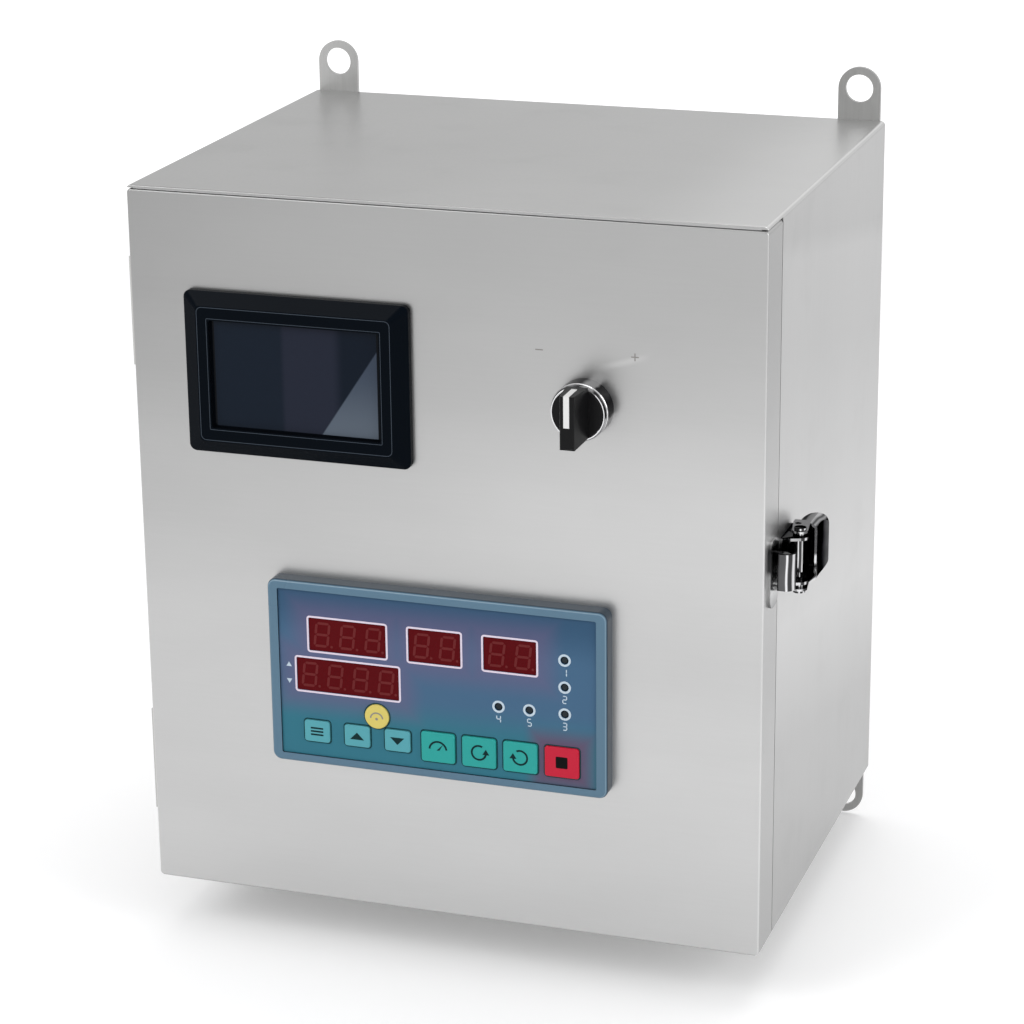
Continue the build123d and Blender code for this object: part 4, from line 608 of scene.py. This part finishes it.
def bandMarks(name, body, material, pairs, distance, thickness):
    # Each pair of loops (outer, inner), equal in length, becomes a closed flat band
    points = []
    faces = []
    start = 0
    for outer, inner in pairs:
        outer, inner = np.asarray(outer, dtype=float), np.asarray(inner, dtype=float)
        count = len(outer)
        for away in (distance + thickness, distance):
            points += [inFront(loop, away) for loop in (outer, inner)]
        ring = start + np.arange(count)
        following = np.roll(ring, -1)
        for first, second in ((0, 1), (1, 3), (3, 2), (2, 0)):
            corners = [ring + first * count, following + first * count,
                       following + second * count, ring + second * count]
            faces += np.stack(corners, 1).tolist()
        start += 4 * count
    return newPiece(name, body, material, np.concatenate(points), faces)


def turned(name, body, material, places, profile, along, steps=20):
    # At each place: place + along * length + radius * (side cos t + up sin t), ends closed by a flat face
    along = np.asarray(along, dtype=float) / np.linalg.norm(along)
    hint = np.array([0.0, 0.0, 1.0]) if abs(along[2]) < 0.9 else np.array([0.0, 1.0, 0.0])
    side = np.cross(hint, along)
    side /= np.linalg.norm(side)
    up = np.cross(along, side)
    angles = np.linspace(0, 2 * np.pi, steps, endpoint=False)
    circle = np.cos(angles)[:, None] * side + np.sin(angles)[:, None] * up
    profile = np.asarray(profile, dtype=float)
    form = profile[:, 0, None, None] * circle + profile[:, 1, None, None] * along
    points = np.asarray(places, dtype=float)[:, None, None, :] + form
    rows = len(profile)
    index = np.arange(len(places) * rows * steps).reshape(len(places), rows, steps)
    following = np.roll(index, -1, axis=2)
    walls = np.stack([index[:, :-1], following[:, :-1], following[:, 1:], index[:, 1:]], -1).reshape(-1, 4)
    faces = walls.tolist() + index[:, -1].tolist() + index[:, 0, ::-1].tolist()
    return newPiece(name, body, material, points.reshape(-1, 3), faces)


def roundedLoop(x, z, width, height, radius, steps=5):
    # Counter-clockwise: corner centre + radius (cos a, sin a), a quarter turn for each corner
    angles = np.radians(np.concatenate([start + np.linspace(0, 90, steps) for start in (0, 90, 180, 270)]))
    sideX = np.repeat([1, -1, -1, 1], steps) * (width / 2 - radius)
    sideZ = np.repeat([1, 1, -1, -1], steps) * (height / 2 - radius)
    return np.stack([x + sideX + radius * np.cos(angles), z + sideZ + radius * np.sin(angles)], 1)


def grownLoop(item, grow, radius, steps=5):
    # The box of an item with x, z, width and height, wider and higher by the same amount
    return roundedLoop(item["x"], item["z"], item["width"] + grow, item["height"] + grow, radius, steps)


def circleLoop(x, z, radius, steps=32):
    angles = np.linspace(0, 2 * np.pi, steps, endpoint=False)
    return np.stack([x + radius * np.cos(angles), z + radius * np.sin(angles)], 1)


def arcOutline(z, outer, inner, start, end, steps=24):
    # Round (0, z): the outer arc from start to end, then the inner arc back
    angles = np.radians(np.linspace(start, end, steps))
    ways = np.concatenate([angles, angles[::-1]])
    radii = np.repeat([outer, inner], steps)
    return np.stack([radii * np.cos(ways), z + radii * np.sin(ways)], 1)


# Digits: seven bars with pointed ends; x shifts with height by the slant
digit = {"width": 7.4, "height": 13.0, "stroke": 1.4, "slant": 0.12, "gap": 0.25}
dot = {"radius": 0.75, "beside": 1.7, "below": 6.5}
border = {"outerGrow": 2.4, "outerRadius": 1.7, "innerGrow": 0.3, "innerRadius": 0.7}
numberBars = {"1": "bc", "2": "abged", "3": "abgcd", "4": "fgbc", "5": "afgcd"}


def segmentOutlines(x, z, look, bars="abcdefg"):
    wide, tall, half, gap = look["width"] / 2, look["height"] / 2, look["stroke"] / 2, look["gap"]
    shapes = {}
    for name, level in (("a", tall), ("g", 0.0), ("d", -tall)):
        left, right = -wide + gap, wide - gap
        shapes[name] = [(left, level), (left + half, level - half), (right - half, level - half),
                        (right, level), (right - half, level + half), (left + half, level + half)]
    for name, side, low, high in (("e", -wide, -tall + gap, -gap), ("f", -wide, gap, tall - gap),
                                  ("c", wide, -tall + gap, -gap), ("b", wide, gap, tall - gap)):
        shapes[name] = [(side, low), (side + half, low + half), (side + half, high - half),
                        (side, high), (side - half, high - half), (side - half, low + half)]
    return [[(x + u + v * look["slant"], z + v) for u, v in shapes[name]] for name in bars]


segments = []
borders = []
for window in windows.values():
    pitch = window["width"] / window["digits"]
    for i in range(window["digits"]):
        x = window["x"] + (i - (window["digits"] - 1) / 2) * pitch
        segments += segmentOutlines(x, window["z"], digit)
        dotX = x + digit["width"] / 2 + dot["beside"]
        segments.append(circleLoop(dotX, window["z"] - dot["below"], dot["radius"], 12))
    borders.append([grownLoop(window, border["outerGrow"], border["outerRadius"]),
                    grownLoop(window, border["innerGrow"], border["innerRadius"])])
flatMarks("digitSegments", "door", "segmentRed", segments, panel["face"] - 0.4, 0.03)
bandMarks("windowBorders", "door", "printWhite", borders, panel["face"], 0.06)

# Pale rings round the lamps, and a plain number under each
lampMark = {"outer": 3.5, "inner": 2.3, "drop": 7.0}
lampNumber = {"width": 2.1, "height": 4.0, "stroke": 0.55, "slant": 0.0, "gap": 0.05}
rings = [(circleLoop(x, z, lampMark["outer"]), circleLoop(x, z, lampMark["inner"])) for x, z in lampPlaces]
bandMarks("lampRings", "door", "lampRim", rings, panel["face"], 0.06)
numerals = []
for label, (x, z) in zip("12345", lampPlaces):
    numerals += segmentOutlines(x, z - lampMark["drop"], lampNumber, numberBars[label])
flatMarks("lampNumbers", "door", "lampRim", numerals, panel["face"], 0.05)

# Up and down marks beside the lower window
vacuum = windows["vacuum"]
levelMark = {"beside": 4.6, "half": 1.6, "base": 3.6, "tip": 6.2}
markX = vacuum["x"] - vacuum["width"] / 2 - levelMark["beside"]
levelMarks = [
    [(markX - way * levelMark["half"], vacuum["z"] + way * levelMark["base"]),
     (markX + way * levelMark["half"], vacuum["z"] + way * levelMark["base"]),
     (markX, vacuum["z"] + way * levelMark["tip"])]
    for way in (1, -1)
]
flatMarks("levelMarks", "door", "lampRim", levelMarks, panel["face"], 0.05)

# Painted shade: a dark line round each key, where the gap's shade falls
gapShade = {"inner": 0.25, "outer": 0.85, "corner": 1.5}
outlines = []
for name, key in keys.items():
    corner = key["width"] / 2 if name == "key_vacuum_set" else gapShade["corner"]
    grows = (gapShade["outer"], gapShade["inner"])
    outlines.append([grownLoop(key, 2 * grow, corner + grow, 9) for grow in grows])
bandMarks("keyGapShades", "door", "keyGapShade", outlines, panel["face"], 0.04)

# Two painted highlight lines on the screen's bezel, round the picture, along its moulded steps
bezelHighlightLoops = [
    {**screen, "width": 109.4, "height": 73.6, "radius": 3.0, "line": 0.35},
    {**screen, "width": 98.6, "height": 61.6, "radius": 0.8, "line": 0.3},
]
steps = [
    [grownLoop(step, -2 * line, step["radius"] - line) for line in (0.0, step["line"])]
    for step in bezelHighlightLoops
]
bandMarks("bezelHighlights", "door", "bezelHighlightLine", steps, screen["face"], 0.03)
print("stage: panel print made")


def turnArrow(radius, flip):
    # Three quarters of a ring with an arrow head at its end
    ring = arcOutline(0.0, radius + 0.55, radius - 0.55, 60, 350)
    head = np.array([(radius - 2.0, -0.9), (radius + 2.0, -0.9), (radius, 2.3)])
    return [(shape * np.array([-1, 1]))[::-1] if flip else shape for shape in (ring, head)]


# Signs on the keys: shapes only, drawn round (0, 0) and moved to each key, a step above the panel's face
keyFace = panel["face"] + 1.2
signs = {
    "key_set": [roundedLoop(0.0, z, 7.4, 1.0, 0.3, 3) for z in (1.9, 0.0, -1.9)],
    "key_up": [[(-4.1, -2.0), (4.1, -2.0), (0.0, 2.2)]],
    "key_down": [[(4.1, 2.0), (-4.1, 2.0), (0.0, -2.2)]],
    "key_vacuum": [arcOutline(-1.4, 5.4, 4.3, 5, 175), [(-0.8, -1.6), (0.8, -1.6), (3.1, 2.2)]],
    "key_tumble": turnArrow(4.0, False),
    "key_reverse": turnArrow(4.0, True),
    "key_stop": [roundedLoop(0.0, 0.0, 6.6, 6.6, 0.5, 3)],
    "key_vacuum_set": [arcOutline(-1.2, 3.9, 3.1, 5, 175), circleLoop(0.0, -1.2, 0.8, 16)],
}
signLooks = {"key_stop": "darkHole", "key_vacuum_set": "printGrey"}
for name, shapes in signs.items():
    place = (keys[name]["x"], keys[name]["z"])
    placed = [np.asarray(shape) + place for shape in shapes]
    flatMarks(name + "_sign", name, signLooks.get(name, "printDark"), placed, keyFace, 0.03)

# Signs on the door beside the selector: minus on the left, plus on the right
selectorSign = {"minusX": 54.3, "plusX": 105.7, "z": 127.6, "length": 4.2, "stroke": 0.65, "corner": 0.2}
length, stroke, corner = selectorSign["length"], selectorSign["stroke"], selectorSign["corner"]
level = selectorSign["z"]
signOutlines = [
    roundedLoop(selectorSign[sign], level, length, stroke, corner, 3) for sign in ("minusX", "plusX")
]
# The plus's upright is two halves, above and below its bar
for rise in ((length + stroke) / 4, -(length + stroke) / 4):
    half = (length - stroke) / 2
    signOutlines.append(roundedLoop(selectorSign["plusX"], level + rise, stroke, half, corner, 3))
flatMarks("selectorSigns", "door", "printGrey", signOutlines, doorFace, 0.03)
print("stage: signs made")

# A grey lip seal under the roof's front edge closes most of the gap over the door
lip = {"half": 171.0, "top": 198.5, "drop": 0.42, "front": 269.6, "depth": 7.9}
lipLoop = [(-lip["half"], lip["top"] - lip["drop"]), (lip["half"], lip["top"] - lip["drop"]),
           (lip["half"], lip["top"]), (-lip["half"], lip["top"])]
lipRear = lip["front"] - lip["depth"]
flatMarks("roofLip", "cabinet", "lipGrey", [lipLoop], lipRear, lip["depth"])

# Screw heads, as shares of the radius and the height: a domed pan head and a flat cheese head
screwForms = {
    "pan": [(1.0, 0.0), (1.0, 0.45), (0.86, 0.68), (0.6, 0.84), (0.3, 0.9)],
    "cheese": [(1.0, 0.0), (1.0, 0.8), (0.9, 0.9)],
}


def screws(name, body, places, radius, height, along, form="pan"):
    profile = [(r * radius, h * height) for r, h in screwForms[form]]
    turned(name, body, "zincScrew", places, profile, along)


hingeScrew = {"x": -177.0, "radius": 3.2, "height": 1.7, "levels": (-150.0, -110.0, 110.0, 150.0),
              "cabinetFace": 226.7, "doorFace": 256.5}
for name, body in (("hingeScrewsCabinet", "cabinet"), ("hingeScrewsDoor", "door")):
    places = [(hingeScrew["x"], -hingeScrew[body + "Face"], z) for z in hingeScrew["levels"]]
    screws(name, body, places, hingeScrew["radius"], hingeScrew["height"], (-1, 0, 0))

# Clamping screws of the devices on the rails
contactorPlaces = (-108.0, -58.0)
clampScrew = {"radius": 2.7, "height": 1.8}
clampScrews = {
    "breakerScrews": {"x": (-9.0, 9.0), "face": 71.5, "z": (67.0, 133.0)},
    "contactorScrews": {"x": [x + side for x in contactorPlaces for side in (-16.5, -5.5, 5.5, 16.5)],
                        "face": 73.5, "z": (-112.0, -48.0)},
    "supplyScrews": {"x": [62.0 + side for side in (-17.5, -10.5, -3.5, 3.5, 10.5, 17.5)],
                     "face": 105.5, "z": (63.0,)},
}
for name, spot in clampScrews.items():
    places = [(x, -spot["face"], z) for x in spot["x"] for z in spot["z"]]
    screws(name, "cabinet", places, clampScrew["radius"], clampScrew["height"], (0, -1, 0), "cheese")

# Terminal screws, square to the terminals' sloping sides
terminals = {"first": 22.9, "pitch": 7.0, "count": 14, "z": -80.0}
terminalScrew = {"face": 63.5, "rise": 15.5, "forward": 0.735, "upward": 0.678, "radius": 2.3, "height": 0.9}
terminalPlaces = [terminals["first"] + terminals["pitch"] * i for i in range(terminals["count"])]
for name, sign in (("terminalScrewsLower", -1), ("terminalScrewsUpper", 1)):
    level = terminals["z"] + sign * terminalScrew["rise"]
    places = [(x, -terminalScrew["face"], level) for x in terminalPlaces]
    along = (0, -terminalScrew["forward"], sign * terminalScrew["upward"])
    screws(name, "cabinet", places, terminalScrew["radius"], terminalScrew["height"], along, "cheese")

# Four screws on the rear of each thing that hangs in the door
rearHeight = 1.5
rearScrews = {
    "caseScrews": {"x": -2.5, "z": -62.5, "face": 237.9, "halfX": 80.0, "halfZ": 41.0, "radius": 3.0},
    "housingScrews": {"x": screen["x"], "z": screen["z"], "face": 234.0, "halfX": 46.0, "halfZ": 26.5,
                      "radius": 2.6},
    "contactScrews": {"x": 79.0, "z": 99.0, "face": 225.0, "halfX": 7.0, "halfZ": 18.0, "radius": 2.6},
}
for name, spot in rearScrews.items():
    places = [(spot["x"] + side * spot["halfX"], -spot["face"], spot["z"] + rise * spot["halfZ"])
              for side in (-1, 1) for rise in (-1, 1)]
    screws(name, "door", places, spot["radius"], rearHeight, (0, 1, 0))

# Blank terminal tags
tag = {"width": 5.8, "height": 4.6, "z": -74.0, "face": 69.5, "thickness": 0.4, "corner": 0.4}
tagLoops = [roundedLoop(x, tag["z"], tag["width"], tag["height"], tag["corner"], 3) for x in terminalPlaces]
flatMarks("terminalTags", "cabinet", "whitePlastic", tagLoops, tag["face"], tag["thickness"])

# Inverter front: a small display, four buttons and a dial with ticks
inverterFace = 138.0
display = {"x": -102.0, "z": 82.0, "width": 38.0, "height": 15.0, "corner": 1.0}
button = {"first": -115.5, "pitch": 9.0, "count": 4, "z": 58.0, "width": 7.0, "height": 5.0, "corner": 1.0}
dial = {"x": -63.0, "z": 70.0, "profile": [(9.0, 0.0), (8.6, 5.0), (7.8, 6.0), (2.0, 6.2)]}
tick = {"inner": 10.6, "outer": 12.8, "half": 0.3, "start": -45, "end": 225, "count": 11}
displayLoop = grownLoop(display, 0.0, display["corner"])
flatMarks("inverterDisplay", "cabinet", "displayGreen", [displayLoop], inverterFace, 0.3)
buttonLoops = [
    roundedLoop(button["first"] + button["pitch"] * i, button["z"], button["width"], button["height"],
                button["corner"])
    for i in range(button["count"])
]
flatMarks("inverterButtons", "cabinet", "greyPlastic", buttonLoops, inverterFace, 0.9)
dialPlace = (dial["x"], -inverterFace, dial["z"])
turned("inverterDial", "cabinet", "greyPlastic", [dialPlace], dial["profile"], (0, -1, 0), 32)
tickBar = np.array([(tick["inner"], -tick["half"]), (tick["outer"], -tick["half"]),
                    (tick["outer"], tick["half"]), (tick["inner"], tick["half"])])
ticks = []
for angle in np.radians(np.linspace(tick["start"], tick["end"], tick["count"])):
    turn = np.array([[math.cos(angle), math.sin(angle)], [-math.sin(angle), math.cos(angle)]])
    ticks.append(tickBar @ turn + (dial["x"], dial["z"]))
flatMarks("dialTicks", "cabinet", "lampRim", ticks, inverterFace, 0.05)

# A push button in each contactor's recess
pushButton = {"z": -80.0, "width": 10.6, "height": 14.6, "corner": 1.0, "face": 111.5, "thickness": 2.6}
pushLoops = [grownLoop({**pushButton, "x": x}, 0.0, pushButton["corner"]) for x in contactorPlaces]
flatMarks("contactorButtons", "cabinet", "greyPlastic", pushLoops, pushButton["face"],
          pushButton["thickness"])
print("stage: inner fittings dressed")


def weldBeads(name, body, lines, look):
    # Round bead: path + radius * (side cos t + inward sin t), its radius rippling along the path
    points = []
    faces = []
    rows, columns = 48, 7
    inward = np.array([0.0, 1.0, 0.0])
    share = np.linspace(0, 1, rows)
    ripple = 1 - look["ripple"] + look["ripple"] * np.cos(share * 2 * np.pi * look["ripples"])
    ends = np.minimum(1, 8 * np.minimum(share, 1 - share) + 0.15)
    swell = look["radius"] * ripple * ends
    turns = np.linspace(0, 2 * np.pi, columns, endpoint=False)
    for start, end in np.asarray(lines, dtype=float):
        way = (end - start) / np.linalg.norm(end - start)
        side = np.cross(way, inward)
        path = start + share[:, None] * (end - start)
        ring = np.cos(turns)[:, None] * side + np.sin(turns)[:, None] * inward
        index = len(points) * rows * columns + np.arange(rows * columns).reshape(rows, columns)
        points.append(path[:, None, :] + swell[:, None, None] * ring)
        following = np.roll(index, -1, axis=1)
        walls = np.stack([index[:-1], index[1:], following[1:], following[:-1]], -1).reshape(-1, 4)
        faces += walls.tolist() + [index[0].tolist(), index[-1, ::-1].tolist()]
    return newPiece(name, body, "lugSteel", np.concatenate(points).reshape(-1, 3), faces, True)


# Weld beads along both edges of each wall lug, where it lies on the back panel, tapering at their ends
lug = {"x": 159.5, "half": 12.25, "thickness": 2.5, "spans": ((165.0, 196.0), (-196.0, -165.0))}
bead = {"radius": 1.1, "ripple": 0.14, "ripples": 12}
weldLines = [
    [(side * lug["x"] + edge * lug["half"], -lug["thickness"], z) for z in span]
    for side in (-1, 1) for edge in (-1, 1) for span in lug["spans"]
]
weldBeads("lugWelds", "cabinet", weldLines, bead)

# Floor and backdrop
floorLook = {"half": 6.0, "z": -0.232, "dark": (0.80, 0.80, 0.80), "light": (0.84, 0.84, 0.84),
             "lift": 0.22, "farLift": 0.5, "farFrom": 0.5, "farTo": 4.0}
floorMesh = bpy.data.meshes.new("floor")
floorCorners = [(across * floorLook["half"], along * floorLook["half"], floorLook["z"])
                for across, along in ((-1, -1), (1, -1), (1, 1), (-1, 1))]
floorMesh.from_pydata(floorCorners, [], [[0, 1, 2, 3]])
floor = bpy.data.objects.new("floor", floorMesh)
bpy.context.scene.collection.objects.link(floor)
floorMaterial, graph = newGraph("floorPaint")
near = graph.backdropRays() * floorLook["lift"]
# Far from the object, by the square of the distance, the floor is as white as the backdrop
x, y, z = graph.axes()
far = graph.ramp(x * x + y * y, floorLook["farFrom"], floorLook["farTo"]) * floorLook["farLift"]
graph.finish({
    "Base Color": graph.mix(graph.noise(0.7), floorLook["dark"], floorLook["light"]),
    "Roughness": 0.9,
    "Emission Color": graph.grey(near.most(far)),
    "Emission Strength": 1.0,
    "Specular IOR Level": 0.1,
})
floorMesh.materials.append(floorMaterial)

world = bpy.data.worlds.new("studio")
bpy.context.scene.world = world
world.use_nodes = True
graph = Graph(world.node_tree)
skyLook = {"low": (0.45, 0.45, 0.46), "high": (0.75, 0.75, 0.76), "backdrop": (1.0, 1.0, 1.0)}
upward = graph.split(graph.node("ShaderNodeTexCoord", output=0))[2]
sky = graph.mix(graph.ramp(upward, -0.2, 0.9), skyLook["low"], skyLook["high"])
color = graph.mix(graph.backdropRays(), sky, skyLook["backdrop"])
background = graph.node("ShaderNodeBackground", None, {"Color": color, "Strength": 1.0})
graph.node("ShaderNodeOutputWorld", None, {"Surface": background})


def areaLight(name, place, target, size, power):
    light = bpy.data.lights.new(name, "AREA")
    light.shape = "RECTANGLE"
    light.size, light.size_y = size
    light.energy = power
    item = bpy.data.objects.new(name, light)
    item.location = place
    item.rotation_euler = (Vector(target) - Vector(place)).to_track_quat("-Z", "Y").to_euler()
    bpy.context.scene.collection.objects.link(item)


lightTarget = (0.0, -0.13, 0.0)
lights = {
    "keyLight": {"place": (-1.6, -2.2, 1.9), "size": (1.6, 1.6), "power": 31.0},
    "rightLight": {"place": (2.4, -1.0, 1.0), "size": (1.2, 1.8), "power": 17.0},
    "topLight": {"place": (0.2, 0.4, 2.4), "size": (2.0, 1.6), "power": 19.0},
}
for name, light in lights.items():
    areaLight(name, light["place"], lightTarget, light["size"], light["power"])

# Camera: back vector (sin az cos el, -cos az cos el, sin el) from the target
view = {"azimuth": 18.81, "elevation": 18.61, "roll": -0.66, "distance": 1.684, "lens": 112.9,
        "sensor": 36.0, "target": (0.0386, -0.270, 0.038)}
azimuth = math.radians(view["azimuth"])
elevation = math.radians(view["elevation"])
back = Vector((math.sin(azimuth) * math.cos(elevation), -math.cos(azimuth) * math.cos(elevation),
               math.sin(elevation)))
cameraData = bpy.data.cameras.new("camera")
cameraData.lens = view["lens"]
cameraData.sensor_width = view["sensor"]
cameraData.clip_start = 0.05
camera = bpy.data.objects.new("camera", cameraData)
turn = back.to_track_quat("Z", "Y").to_matrix().to_4x4() @ Matrix.Rotation(math.radians(view["roll"]), 4, "Z")
camera.matrix_world = Matrix.Translation(Vector(view["target"]) + back * view["distance"]) @ turn
bpy.context.scene.collection.objects.link(camera)
bpy.context.scene.camera = camera
bpy.context.scene.view_settings.view_transform = "Standard"
print("stage: lights and camera set")
